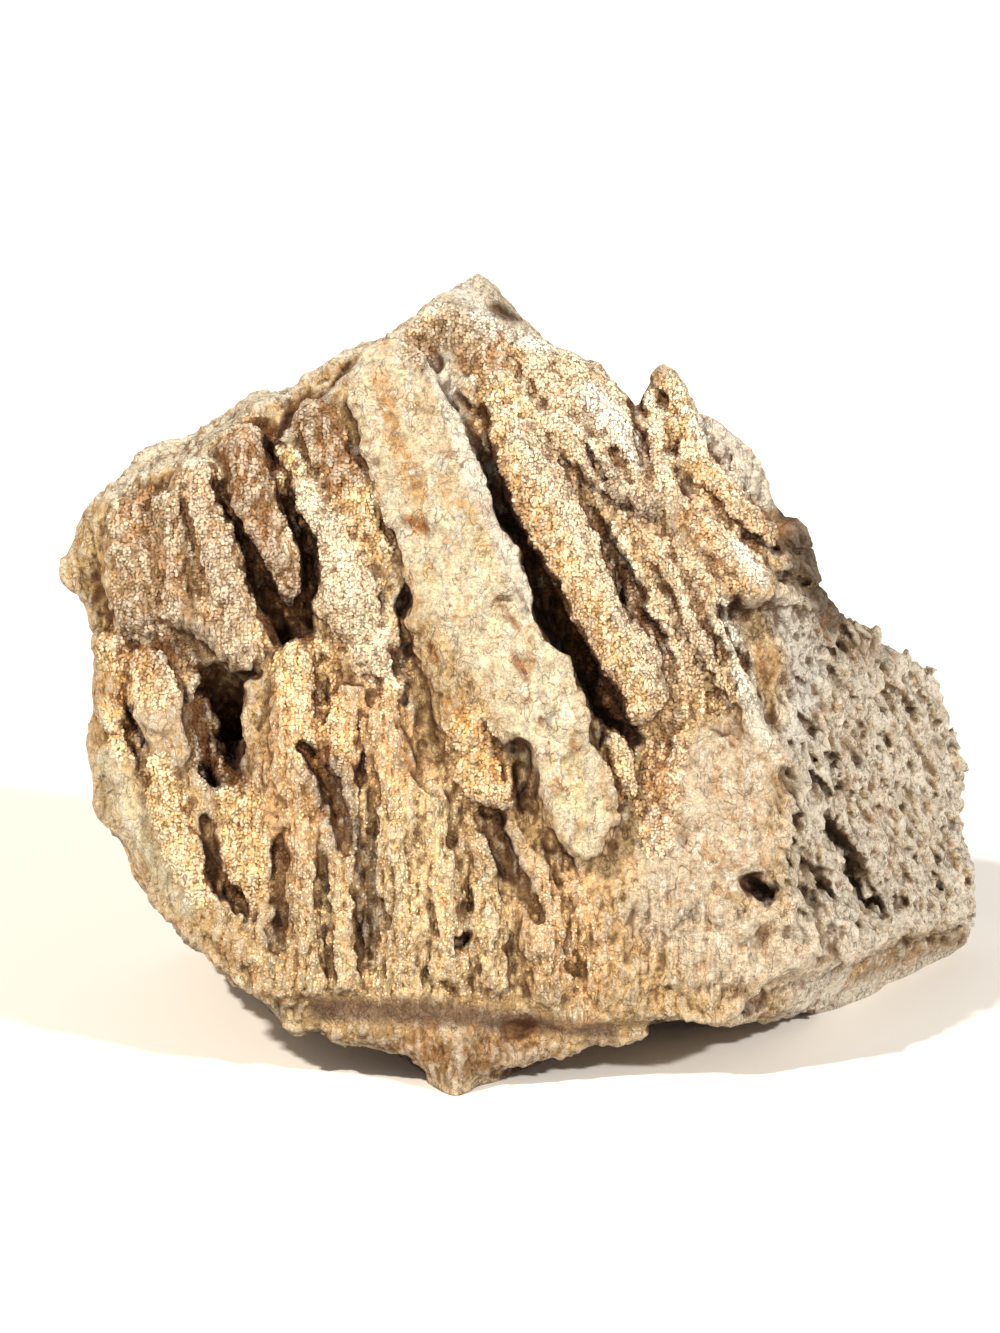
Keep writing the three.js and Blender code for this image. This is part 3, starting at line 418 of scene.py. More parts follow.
# %% Small ribs side by side in the middle of the face
rib([(28, 190, 3, 3.5), (33, 176, 5, 5), (42, 161, 6, 5), (49, 148, 5, 4.5)], blend=2)
rib([(39, 189, 3, 4), (48, 176, 6, 5), (55, 164, 7, 5), (62, 151, 7, 5), (69, 137, 5, 4)], blend=2)
rib([(47, 198, 3, 4), (57, 179, 6, 5), (66, 165, 6, 4.5)], blend=2)
groove([(34, 188, 8, 1.5), (41, 173, 9, 2), (49, 157, 9, 2), (56, 144, 9, 2)], blend=1.5)
groove([(44, 189, 8, 1.5), (53, 173, 10, 2), (61, 159, 10, 2)], blend=1.5)

# A sharp bare ridge to the right of them, with slots beside it.
SHARP_RIDGE = [
    (57, 166, 4, 1.5), (64, 156, 7, 2), (69, 145, 8, 2.5),
    (75, 131, 7, 2.5), (80, 120, 5, 2.5), (87, 109, 1, 2),
]
bar(SHARP_RIDGE, thick=10, tilt=-0.3, edge=1.5, blend=3)
groove([(56, 168, 9, 2), (62, 158, 9, 2), (66, 146, 9, 2.5), (71, 133, 9, 2)], blend=1.5)
groove([(74, 157, 7, 2), (79, 148, 6, 3), (83, 141, 4, 2.5)], blend=2)
groove([(79, 138, 7, 1.5), (84, 126, 4, 2.5), (88, 117, 1, 2)], blend=2)
tell("small ribs")

# %% [markdown]
# ## The big round rib
#
# The widest of the round ribs runs down beside the slab. It bends half way, so it is worked as
# two stems that share a point and its radius there.

# %% The big round rib beside the slab
rib([(-9, 228, 1, 6), (-2, 213, 4, 9.5), (7, 198, 6, 12), (15, 180, 6, 12.5)], blend=3)
rib([(15, 180, 6, 12.5), (26, 160, 7, 12.5), (35, 142, 6, 12), (39, 130, 5, 9.5)], blend=2)
groove([(20, 200, 9, 1.2), (26, 188, 5, 2), (31, 177, 2, 3), (37, 164, 2, 3.5)], blend=1.5)
groove([(37, 164, 2, 3.5), (45, 153, 4, 2.5), (51, 143, 6, 2), (52, 131, 7, 2), (46, 104, 8, 2)], blend=2)
tell("big rib")

# %% [markdown]
# ## The left-hand ribs
#
# A dark granular block lies at the far left. The taller ribs beside it lean towards the slab and
# are parted by two deep dark slots that meet lower down.

# %% The left-hand ribs
lump((-126, 172, -6), (13, 24, 8), 5, 4)
rib([(-117, 192, -3, 7), (-116, 176, -2, 7), (-114, 160, -1, 7)], blend=3)
rib([(-107, 201, 0, 8.5), (-104, 185, 3, 9), (-99, 167, 4, 9), (-93, 153, 2, 8)], blend=3)
rib([(-92, 213, 0, 8), (-88, 195, 4, 9), (-82, 178, 6, 8), (-77, 167, 5, 5), (-74, 160, 4, 3)], blend=2)
rib([(-68, 220, 2, 8), (-60, 205, 4, 8), (-51, 188, 6, 7.5), (-44, 168, 6, 6)])
rib([(-77, 210, 1, 5), (-71, 199, 4, 7), (-64, 184, 5, 9), (-57, 165, 5, 11.5)], blend=2)
rib([(-57, 165, 5, 11.5), (-49, 148, 4, 9), (-42, 135, 4, 5)], blend=2)

# The two slots, then thinner grooves.
OUTER_SLOT = [
    (-101, 203, 5, 1.2), (-96, 192, 4, 1.6), (-90, 178, 2, 2),
    (-86, 168, 0, 3), (-80, 157, -3, 5), (-77, 151, -4, 5),
]
INNER_SLOT = [
    (-80, 205, 6, 1.5), (-76, 194, 4, 2.2), (-71, 180, 3, 2), (-70, 166, 0, 2.5), (-73, 153, -3, 4),
]
groove(OUTER_SLOT, blend=1.5)
groove(INNER_SLOT, blend=1.5)
groove([(-79, 225, 6, 2), (-72, 211, 8, 2)])
groove([(-63, 195, 12, 1.5), (-52, 180, 11, 1.8), (-45, 168, 10, 2), (-41, 152, 10, 2), (-40, 138, 8, 2.5)],
       blend=2)
groove([(-112, 199, 6, 2), (-110, 180, 6, 2.5), (-106, 163, 6, 2.5)], blend=2)
groove([(-122, 190, 4, 2), (-121, 160, 4, 2)], blend=2)
pit((-38, 128, 5), (3, 4.5, 9))
tell("left-hand ribs")

# %% [markdown]
# ## The slab
#
# A pale flat slab runs down the front. It split off along the grain, so its face is flat and its
# edges are crisp, which a bar gives and a stem can't. It turns a little as it goes, in three
# bars. Deep trenches with no spread make the dark slot on its right.

# %% The pale flat slab
bar([(-44, 240, 0, 14), (-37, 219, 4, 18), (-27, 195, 7, 18)], thick=20, tilt=-0.08, edge=1.5, blend=2.5)
bar([(-27, 195, 7, 18), (-17, 168, 8, 19), (-3, 143, 9, 18)], thick=20, tilt=-0.12, edge=1.5, blend=2.5)
bar([(-3, 143, 9, 18), (11, 115, 10, 14), (22, 91, 9, 11), (21, 79, 7, 5)],
    thick=20, tilt=-0.06, edge=1, blend=2)
rib([(-27, 156, 7, 11), (-20, 136, 7, 11.5), (-14, 116, 6, 10.5), (-11, 101, 5, 9)], blend=3)
groove([(-33, 252, 4, 2), (-21, 229, 6, 2.5), (-16, 217, 3, 3.5), (-10, 206, 5, 2.5), (-4, 190, 5, 3)],
       blend=1.5, spread=0)
groove([(-3, 188, 4, 3), (3, 176, 0, 4), (9, 164, -2, 5), (15, 150, -3, 5.5)], blend=1.5, spread=0)
groove([(15, 150, -3, 5.5), (22, 138, -3, 5.5), (29, 127, -2, 5.5), (36, 117, 2, 3.5)], blend=1.5, spread=0)
rib([(31, 115, 7, 4.5), (34, 106, 9, 4.5), (35, 100, 8, 4)], blend=1.5)
groove([(1, 113, 11, 3), (2, 103, 11, 3), (1, 94, 10, 3.5)], blend=2)
tell("slab")

# %% Flakes and steps broken from the slab's face
FLAKES = [   # place, half sizes, degrees
    ((-4, 158, 23), (9, 6, 6), 50), ((0, 139, 24), (4, 8, 6), -20), ((-37, 187, 22), (9, 5, 6), 60),
    ((20, 110, 23), (5, 9, 6), -25), ((-50, 212, 17), (4, 12, 3.5), 25), ((-24, 211, 21), (8, 4, 4), -30),
    ((8, 122, 23), (4, 7, 5), -40), ((-22, 146, 22), (5, 9, 5), -25),
]
for flake in FLAKES:
    pit(*flake)
tell(f"{len(FLAKES)} flakes")

# %% [markdown]
# ## The belly
#
# Below the ribs the wood's fibres still show. The face swells there and is fluted from top to
# bottom: a wide low lump carries upright ribs, and grooves part them.

# %% The belly below the ribs
lump((-34, 72, -4), (60, 54, 12), 0, 10)
rib([(-76, 141, 4, 7), (-75, 115, 6, 8), (-73, 88, 7, 6.5), (-72, 60, 7, 6), (-69, 36, 5, 5)], blend=3)
rib([(-57, 128, 5, 7), (-60, 100, 6, 6), (-59, 76, 8, 6), (-60, 56, 8, 5.5), (-58, 37, 7, 4)], blend=3)
rib([(-46, 122, 6, 7), (-41, 98, 8, 8), (-39, 74, 9, 7.5), (-37, 50, 8, 8), (-38, 36, 7, 5)], blend=3)
rib([(-30, 96, 7, 6), (-26, 68, 9, 7), (-24, 40, 7, 6)], blend=3)
rib([(-12, 76, 7, 4), (-11, 56, 9, 6), (-8, 36, 6, 5)], blend=3)
rib([(6, 74, 6, 7), (8, 52, 8, 8), (10, 34, 5, 6)], blend=4)
rib([(20, 66, 4, 7), (27, 50, 5, 9), (36, 32, 3, 7)], blend=5)

# Troughs, then the thin grooves of the fluting.
groove([(-71, 113, 8, 2), (-64, 102, 6, 3), (-60, 90, 7, 3), (-57, 80, 11, 2)], blend=1.5)
groove([(-48, 92, 14, 1.5), (-51, 80, 7, 3), (-51, 60, 5, 4), (-50, 40, 7, 3)], blend=1.5)
groove([(-67, 70, 11, 1.5), (-65, 55, 8, 2.2), (-62, 37, 9, 2)], blend=1.5)
groove([(-79, 84, 6, 2), (-81, 66, 4, 3), (-81, 46, 5, 2.5)], blend=1.5)
groove([(-18, 92, 12, 1.5), (-9, 89, 4, 3.5), (-5, 78, 4, 4), (0, 69, 8, 3), (5, 58, 13, 2)], blend=1.5)
groove([(-34, 100, 15, 1.2), (-31, 82, 16, 1.5), (-31, 62, 16, 1.2)], blend=1.5)
groove([(-20, 70, 15, 1.2), (-18, 55, 15, 1.5)], blend=1)
groove([(-17, 74, 14, 1.5), (-15, 60, 14, 1.5), (-16, 40, 13, 1.5)], blend=1.5)
groove([(-3, 60, 14, 1.2), (-1, 48, 14, 1.5), (0, 36, 12, 1.5)], blend=1.5)
groove([(17, 72, 12, 1.5), (20, 60, 13, 1.5), (25, 44, 13, 1.2)], blend=1.5)
pit((-19.5, 49, 13), (2.6, 3, 9))
tell("belly")

# %% [markdown]
# ## The hollow on the left
#
# Under the left-hand ribs the stone is open, with small columns at its mouth. A wide trench and
# a tunnel hollow it out first. The lips, columns and ribs that grew round it come after, so that
# they stand free in front of the dark.

# %% The hollow and the lower left
groove([(-100, 131, -9, 8.5), (-100, 116, -9, 8.5), (-101, 106, -6, 7)], blend=1.5, spread=0)
tunnel([(-100, 136, -6, 7), (-97, 124, -14, 8), (-104, 101, -5, 5)])
rib([(-112, 160, -2, 6), (-101, 152, 3, 7), (-91, 146, 3, 6.5)], blend=3)
lump((-116, 147, -9), (10, 8, 9), -20, 4)
rib([(-94, 97, -5, 8), (-92, 84, -3, 9), (-90, 68, -2, 8), (-90, 56, 0, 6)], blend=4)
bar([(-125, 143, -4, 6), (-120, 124, -1, 8), (-115, 109, -2, 5)], thick=14, tilt=-0.2, edge=1, blend=2)
rib([(-122, 109, -4, 6), (-117, 94, -2, 6.5), (-113, 79, -1, 6.5), (-106, 62, 1, 5)], blend=3)
rib([(-137, 146, -8, 6), (-135, 128, -7, 6), (-133, 112, -8, 6)], blend=4)
bar([(-135, 111, -12, 5), (-126, 88, -12, 5), (-111, 64, -10, 5)], thick=18, edge=3, blend=4)
groove([(-131, 122, 0, 2), (-127, 110, -1, 3), (-127, 97, 0, 2)], blend=2)
groove([(-104, 88, 1, 2.5), (-102, 72, 1, 3), (-95, 60, 2, 3.5), (-88, 46, 3, 3.5)], blend=1)
pit((-91, 40, 6), (4, 8, 8), 10)
pit((-104, 103, 1), (4, 3, 7), -30)
rib([(-98, 56, 0, 5), (-88, 42, 2, 5), (-78, 36, 4, 5)], blend=5)
tell("hollow")

# %% [markdown]
# ## The nose and the lower right
#
# The keel ends in a pebbly nose under the middle of the ribbed face. To the right of the belly a
# smooth boss stands out, with a hole under it and rounded nodules below: lumps that flow into
# one another, and pits.

# %% The nose of the keel
rib([(-21, -1, 0, 3.5), (-22, 8, 1, 5), (-24, 18, 3, 7)], blend=4)
rib([(-60, 22, -6, 5), (-42, 18, -1, 6), (-26, 12, 1, 6)], blend=5)
rib([(-16, 10, 0, 5), (8, 14, -2, 5), (40, 19, -6, 4)], blend=5)
tell("nose")

# %% The smooth boss, its hole and the nodules
lump((70, 92, -1), (20, 30, 13), 10, 8)
lump((46, 68, -2), (28, 22, 11), 35, 12)
lump((62, 44, -6), (36, 14, 13), 3, 12)
lump((96, 52, -22), (16, 14, 14), 0, 8)
pit((79, 66, 6), (6.5, 3.5, 8), -40)
lump((66, 60, 6), (6, 5, 7), 0, 3)
lump((76, 54, 3), (6, 5, 7), 0, 3)
pit((90, 31, -6), (21, 6, 11), 10, 3)
tell("boss")

# %% [markdown]
# ## The porous flank
#
# The right flank broke across rotten wood that silica only half filled. Its pores are drawn out
# down and to the right. The biggest are pits of their own. Between them it is all sharp little
# walls and hollows, too many to place, so noise that is stretched the same way moves the face.

# %% Pits of the flank


def flank(u):
    """Level w of the flank's plane at a place u."""
    return (FLANK_EDGE - u) * math.tan(math.radians(60))


FLANK_PITS = [   # u, v, half width, half height
    (99, 103, 3, 6), (107, 101, 3.5, 6.5), (92, 89, 2.5, 5), (107, 82, 5, 9), (115, 68, 5.5, 12),
    (121, 56, 4, 6), (108, 148, 3.5, 3), (90, 130, 2.5, 4), (134, 120, 2, 3), (100, 66, 3, 8),
]
for u, v, wide, tall in FLANK_PITS:
    pit((u, v, flank(u) + 1), (wide, tall, wide * 2.2), 30, 3)
tell(f"{len(FLANK_PITS)} pits")

# %% Walls and hollows between the pits
SPONGE_FROM = 83, 34   # u and v where it sets in
SPONGE_FULL = 6, 12    # and over how many millimetres it reaches its full height


def ramp(value, start, length):
    """0 up to a start, then a straight rise to 1 over a length."""
    return min(1, max(0, (value - start) / length))


def along_pores(u, v):
    """Distances across the pores and along them."""
    return u * 0.77 + v * 0.64, u * 0.64 - v * 0.77


def sponge(u, v, w):
    """How far the wall or hollow at a place lies in from the flank's own level."""
    across, along = along_pores(u, v)
    ridges = noise.noise(Vector((across / 3.4, along / 14, w / 6)))
    small = noise.noise(Vector((across / 2.1 + 9, along / 5, w / 4)))
    patchy = max(0.0, noise.noise(Vector((u, v, w)) / 12))
    return 2.7 * ridges + 1.8 * small + 2.4 * patchy - 0.1


off_flank = (U - FLANK_EDGE) * FLANK_OUT[0] + W * FLANK_OUT[2]
inside = (U > SPONGE_FROM[0] - 1) & (V > SPONGE_FROM[1])
near = np.argwhere((np.abs(field) < 6) & (np.abs(off_flank) < 10) & inside)
for i, j, k in near:
    u, v, w = float(AXES[0][i]), float(AXES[1][j]), float(AXES[2][k])
    fade = ramp(u, SPONGE_FROM[0], SPONGE_FULL[0]) * ramp(v, SPONGE_FROM[1], SPONGE_FULL[1])
    field[i, j, k] += fade * sponge(u, v, w)
print("sponge: worked at", len(near), "samples")

# %% [markdown]
# ## What grew and broke last
#
# The hollow runs on into the stone. Later silica levelled many furrows between ribs, so that only
# thin ones stay, and the last breaks are crisp: small steps on the slab, a pocket at the summit,
# ledges at the top of the flank.

# %% The hollow, inward
tunnel([(-101, 122, -14, 8), (-97, 120, -24, 8), (-90, 112, -36, 6)], blend=2)

# Lip of the rib that ends over it, and the brown shelf inside it.
groove([(-107, 138, -1, 2), (-98, 137, 1, 3), (-89, 138, 1, 2)], blend=1, spread=0)
rib([(-107, 128, -13, 4), (-105, 112, -11, 5), (-99, 103, -9, 5)], blend=3)
tell("hollow, inward")

# %% Levelled furrows
LEVELLED = [
    # between the lobes and the small ribs on the right
    [(22, 197, 5.4, 3), (34, 193, 4.6, 3), (48, 187, 4.7, 3)],
    [(24, 192, 3, 3), (31, 178, 0.5, 3.5), (37, 165, 0.5, 3.5), (45, 153, 2.5, 3), (52, 142, 4.5, 3)],
    [(34, 188, 3.3, 3.2), (41, 173, 3.8, 3.4), (49, 157, 4.3, 3.4), (56, 144, 4.3, 3.2)],
    [(44, 189, 3.8, 3.4), (53, 173, 4.8, 3.4), (61, 159, 4.8, 3.4)],
    [(56, 168, 4.3, 2.6), (62, 158, 4.3, 2.6), (66, 146, 4.3, 2.6), (71, 133, 4.3, 2.6)],
    # right of the slab's head, and between the left-hand ribs
    [(-24, 236, 3, 3), (-16, 218, 3, 3), (-9, 204, 3, 3), (-5, 193, 3, 2.5)],
    [(-60, 192, 9, 3), (-51, 178, 8, 3.2), (-44, 166, 7, 3.2), (-41, 150, 6.5, 3.2)],
    # on the belly
    [(-51, 84, 5, 3.2), (-51, 60, 3.5, 4), (-50, 42, 5, 3.2)],
    [(-79, 84, 3, 2.5), (-81, 66, 1, 3.4), (-81, 46, 2, 2.8)],
    [(-68, 108, 3, 2.6), (-64, 102, 2, 3.2), (-60, 90, 3, 3.2), (-57, 80, 6, 2.5)],
    [(-66, 64, 6, 2.2), (-63, 44, 5, 2.4)],
    [(-10, 89, 0, 4), (-5, 78, 0.5, 4), (0, 69, 3.5, 3.5), (4, 60, 7.5, 2.5)],
    # among the lobes, and below the finger
    [(16, 229, 4.5, 2.5), (21, 223, 5.5, 2.5), (26, 213, 6.5, 2.5)],
    [(12, 214, 6.5, 2.5), (17, 208, 7.5, 2.5)],
    [(61, 220, -5, 2.2), (70, 206, -3, 2.2)],
    [(53, 205, 1, 3.5), (60, 198, 2, 3.5), (67, 190, 1.5, 4), (79, 177, 0, 4)],
]
for points in LEVELLED:
    rib(points, blend=3)
pit((9.5, 154, 21.5), (3, 4.5, 3))   # a thin film left over the slot
tell(f"{len(LEVELLED)} furrows levelled")

# %% Crisp small breaks
SLAB_STEPS = [   # place, half sizes, degrees
    ((-46, 214, 15.3), (9, 3.5, 3), 14), ((-33, 186, 17.5), (7, 4.5, 3), -10),
    ((-24, 206, 17.7), (6, 3, 3), -20), ((-5, 159, 19.1), (4, 7, 3.2), 30),
    ((-2, 141, 21), (4, 5.5, 3), 25), ((11, 120, 21.7), (4.5, 3.5, 3), -20),
    ((-30, 170, 18.8), (6, 4.5, 3), -15), ((6, 130, 21.4), (3.5, 6, 3), 25),
]
for place, size, degrees in SLAB_STEPS:
    pit(place, size, degrees, 0.2)

pit((-6, 259, -3), (6, 3.5, 8), -40, 1)   # brown pocket in the right side of the summit

# Brown ledges one under the other at the top of the flank.
for i in range(3):
    v, reach, end = 184 - i * 10, 93 + i * 3, 98 + i * 2
    rib([(88, v, flank(88) - 2, 4.5), (reach, v - 3, flank(reach) + 1, 4)], flat=0.7, blend=3)
    tunnel([(86, v - 5, flank(86) + 4, 2.5), (end, v - 8, flank(end) + 4, 2.5)], blend=2)

# Hard rim along the foot of the flank, over the smooth underface.
rib([(110, 46, flank(110) - 4, 6), (130, 54, flank(130) - 4, 5.5), (151, 57, flank(151) - 1, 4)], blend=5)
tell("small breaks")

# %% [markdown]
# ## The sides that the ribs turn away from
#
# The back, the top and the left end are guessed: worn ribs of the same growth, a few steps
# where layers broke away, and a last low swell over the whole stone.

# %% Back, top and left end
BACK_RIBS = [   # top and foot in x, y, z, and width
    ((-94, 132, 152), (-92, 138, 40), 9), ((-72, 148, 166), (-70, 156, 60), 11),
    ((-42, 158, 166), (-50, 168, 20), 13), ((-12, 164, 150), (-24, 173, 50), 10),
    ((16, 166, 150), (8, 174, 12), 13), ((46, 164, 122), (40, 172, 50), 9),
    ((72, 158, 108), (70, 168, 20), 12), ((102, 152, 88), (104, 162, 20), 10),
]
for top, foot, size in BACK_RIBS:
    middle = tuple((a + b) / 2 + nudge for a, b, nudge in zip(top, foot, (size / 3, -1, -1)))
    radii = size * 0.35, size * 0.9, size * 0.4
    rib([(*lean(place), radius) for place, radius in zip((top, middle, foot), radii)], blend=10)

STEPS = [   # place in x, y, z, half sizes, degrees: on the top, the back slope, the left and the right
    ((-62, 130, 214), (46, 5, 34), 25), ((30, 150, 205), (40, 34, 9), 0),
    ((-146, 90, 110), (8, 44, 22), 20), ((120, 118, 150), (36, 7, 24), -50),
]
for place, size, degrees in STEPS:
    pit(lean(place), size, degrees, 2)

field += waves([(21, (0.9, 0.3, -0.3), 0.35), (16, (-0.2, 0.6, 0.77), 0.3)])
tell("hidden sides")

# %% [markdown]
# ## From the field to a skin
#
# Every lattice cube that the surface passes through gets one corner, at the mean of the places
# where its edges cross the surface, and every crossed edge joins the four cubes round it with a
# face. The biggest shell is the stone; bubbles inside, where cuts meet, are dropped.

# %% Close the field
OFFSETS = [np.array((i, j, k)) for i in (0, 1) for j in (0, 1) for k in (0, 1)]
SPARE = 7        # stone left below the ground for the flat trim
FILLED = -0.02   # a sample that is filled then lies just inside the stone

field = np.maximum(field, -SPARE - (V * RUN + W * RISE))
for axis in range(3):
    for end in (0, -1):
        np.moveaxis(field, axis, 0)[end] = CELL


def turned_axes(axis):
    """Unit steps along an axis and along the two others, in turn."""
    steps = np.eye(3, dtype=int)
    return steps[axis], steps[(axis + 1) % 3], steps[(axis + 2) % 3]


def without_pinches(values):
    """Fills one corner of each lattice face whose corners take turns, so the skin can't touch itself."""
    for turn in range(20):
        pinched = 0
        for axis in range(3):
            _, across, up = turned_axes(axis)
            round_face = 0 * across, across, across + up, up
            inside = values < 0
            ring = []
            for step in round_face:
                sides = zip(step, values.shape, across, up)
                ring.append(inside[tuple(slice(s, n + s - a - b) for s, n, a, b in sides)])
            found = np.argwhere((ring[0] == ring[2]) & (ring[1] == ring[3]) & (ring[0] != ring[1]))
            pinched += len(found)
            corners = np.stack([found + step for step in round_face])
            sizes = values[tuple(np.moveaxis(corners, 2, 0))]
            nearest = np.where(sizes < 0, np.inf, sizes).argmin(axis=0)
            values[tuple(corners[nearest, np.arange(len(found))].T)] = FILLED
        if not pinched:
            break
    print("pinches left:", pinched, "after", turn + 1, "rounds")


without_pinches(field)

# %% Surface net


def crossed(values):
    """Corners (in lattice steps) and four-sided faces of the surface where values change sign."""
    inside = values < 0
    span = np.array(values.shape) - 1
    count = np.zeros(span, np.int8)
    for offset in OFFSETS:
        count += inside[tuple(slice(o, o + n) for o, n in zip(offset, span))]
    mixed = (count > 0) & (count < 8)
    cubes = np.argwhere(mixed)
    number = np.full(mixed.shape, -1, np.int32)
    number[mixed] = np.arange(len(cubes))
    total, hits = np.zeros((len(cubes), 3)), np.zeros((len(cubes), 1))
    for offset in OFFSETS:
        for axis in np.flatnonzero(offset == 0):
            start = cubes + offset
            end = start + np.eye(3, dtype=int)[axis]
            a, b = values[tuple(start.T)], values[tuple(end.T)]
            hit = ((a < 0) != (b < 0))[:, None]
            share = (a / np.where(a == b, 1, a - b))[:, None]
            total += np.where(hit, start + share * (end - start), 0)
            hits += hit
    faces = []
    for axis in range(3):
        along, across, up = turned_axes(axis)
        low = inside[tuple(slice(0, n + 1 - s) for n, s in zip(span, along))]
        high = inside[tuple(slice(s, None) for s in along)]
        edge = np.argwhere(low != high)
        ring = [number[tuple((edge - back).T)] for back in (0 * along, across, across + up, up)]
        ring = np.stack(ring, axis=1)
        outward = low[tuple(edge.T)]
        faces.append(np.where(outward[:, None], ring, ring[:, ::-1]))
    return total / hits, np.concatenate(faces)


corners, quads = crossed(field)
print("net:", len(corners), "corners", len(quads), "faces")

# %% The biggest shell


def biggest_shell(count, faces):
    """Which faces belong to the shell with the most corners."""
    label = np.arange(count)
    while True:
        least = label[faces].min(axis=1)
        before = label.copy()
        for side in range(4):
            np.minimum.at(label, faces[:, side], least)
        label = label[label]
        if (label == before).all():
            break
    kept = np.bincount(label).argmax()
    return label[faces[:, 0]] == kept


quads = quads[biggest_shell(len(corners), quads)]
used, flat_index = np.unique(quads, return_inverse=True)
quads = flat_index.reshape(quads.shape)
uvw = corners[used] * CELL + np.array(LOWEST)
print("skin:", len(uvw), "corners", len(quads), "faces")

# %% [markdown]
# ## A flat underside
#
# The skin is stood upright and cut level with the ground, where the lump rests. The rim of the
# cut is filled with one flat face.

# %% Trim at the ground


def mesh_of(name, places, faces):
    mesh = bpy.data.meshes.new(name)
    mesh.from_pydata([tuple(place) for place in places], [], [tuple(face) for face in faces])
    mesh.validate()
    return mesh


def rows_of(values, key):
    """Rows of three numbers kept under a key by each item of a mesh."""
    flat = np.empty(len(values) * 3, np.float32)
    values.foreach_get(key, flat)
    return flat.reshape(-1, 3).astype(float)


def places_and_normals(mesh):
    """Where every corner lies, and the way the surface faces there."""
    return rows_of(mesh.vertices, "co"), rows_of(mesh.vertex_normals, "vector")


def triangles_in(mesh):
    return sum(len(face.vertices) - 2 for face in mesh.polygons)


skin = mesh_of("stone skin", stand(uvw), quads)
work_mesh = bmesh.new()
work_mesh.from_mesh(skin)
odd = [edge for edge in work_mesh.edges if len(edge.link_faces) != 2]
print("edges that don't join two faces:", len(odd))
geometry = work_mesh.verts[:] + work_mesh.edges[:] + work_mesh.faces[:]
bmesh.ops.bisect_plane(work_mesh, geom=geometry, plane_co=(0, 0, 0), plane_no=(0, 0, 1), clear_inner=True)
rim = [edge for edge in work_mesh.edges if len(edge.link_faces) == 1]
bmesh.ops.holes_fill(work_mesh, edges=rim, sides=0)
bmesh.ops.triangulate(work_mesh, faces=[face for face in work_mesh.faces if len(face.verts) > 4])
work_mesh.to_mesh(skin)
work_mesh.free()
print("trimmed:", len(skin.vertices), "corners")

# %% [markdown]
# ## Where each kind of surface lies
#
# The growth on this lump changes from place to place: a granular rind on the ribs, fibres on the
# belly, pores on the right flank, smooth breaks elsewhere. Each kind is laid down with strokes
# of a brush in the leaning frame. A stroke is a line of points (u, v, half width).

# %% Brush


def leaned(rows):
    """Rows of x, y, z turned into rows of u, v, w."""
    return np.stack(lean(rows.T), axis=1)


def smooth(low, high, value):
    """0 below low, 1 above high and an eased rise between them."""
    t = np.clip((value - low) / (high - low), 0, 1)
    return t * t * (3 - 2 * t)


def brush(rows, strokes, soft=4):
    """How much each place lies under the strokes, from 0 to 1, whatever its depth."""
    u, v, _ = rows.T
    best = np.full(len(rows), 1e3)
    for points in strokes:
        for (au, av, ar), (bu, bv, br) in zip(points, points[1:] or points):
            du, dv = bu - au, bv - av
            t = np.clip(((u - au) * du + (v - av) * dv) / max(du * du + dv * dv, 1e-6), 0, 1)
            best = np.minimum(best, np.hypot(u - au - t * du, v - av - t * dv) - ar - t * (br - ar))
    return 1 - smooth(-soft / 2, soft / 2, best)


beside = np.array([(0.0, 0.0, 0.0), (5.0, 0.0, 0.0), (9.0, 0.0, 0.0)])
print("a dab of half width 5, at 0, 5 and 9 mm:", brush(beside, [[(0, 0, 5)]]).round(2))

# %% Strokes of each kind
GRANULAR = [
    # summit and lobes
    [(-33, 247, 7), (-26, 256, 6), (-17, 252, 8), (-10, 243, 10), (3, 232, 10), (12, 223, 9)],
    [(3, 245, 6), (15, 238, 8), (27, 229, 8), (36, 212, 7)],
    [(8, 222, 7), (20, 210, 8), (33, 193, 8)],
    [(30, 210, 6), (43, 190, 7)],
    # finger and shoulder
    [(44, 228, 4), (48, 200, 6)],
    [(50, 234, 4), (57, 214, 6), (66, 200, 7), (80, 184, 6)],
    [(60, 192, 7), (75, 171, 8)],
    # big rib and small ribs, and what hangs below them
    [(-9, 226, 8), (8, 198, 13), (26, 160, 14), (39, 128, 11)],
    [(36, 186, 10), (52, 160, 17), (64, 138, 14)],
    [(33, 117, 5), (36, 100, 5)],
    [(52, 125, 6), (46, 102, 8), (45, 82, 6)],
    # left-hand ribs
    [(-125, 188, 13), (-124, 162, 12)],
    [(-107, 202, 8), (-98, 165, 10), (-92, 150, 9)],
    [(-90, 214, 10), (-81, 176, 8), (-75, 162, 6)],
    [(-68, 222, 8), (-60, 205, 8), (-48, 180, 7)],
    [(-77, 208, 6), (-66, 186, 9), (-57, 163, 13), (-44, 138, 8)],
    [(-72, 140, 12), (-66, 112, 10)],
    [(-17, 118, 9), (-11, 99, 9)],
    # round the hollow and below it
    [(-134, 146, 8), (-122, 134, 9)],
    [(-118, 146, 7), (-110, 138, 5)],
    [(-106, 128, 5), (-103, 104, 6)],
    [(-134, 126, 6), (-132, 114, 6)],
    [(-121, 106, 6), (-113, 79, 7), (-106, 64, 5)],
    [(-94, 96, 8), (-91, 68, 8)],
]
SANDY = [   # a thinner rind on the belly
    [(-74, 122, 10), (-70, 40, 14)], [(-50, 120, 14), (-44, 42, 16)], [(-20, 88, 12), (-16, 42, 16)],
    [(10, 68, 8), (16, 44, 16)], [(-92, 60, 6), (-84, 42, 8)],
]
FIBROUS = [
    [(-74, 118, 8), (-70, 40, 12)], [(-50, 120, 12), (-44, 40, 16)], [(-20, 88, 10), (-16, 38, 16)],
    [(10, 70, 8), (20, 40, 18)], [(52, 62, 14), (62, 40, 16)], [(-92, 60, 6), (-84, 40, 8)],
]
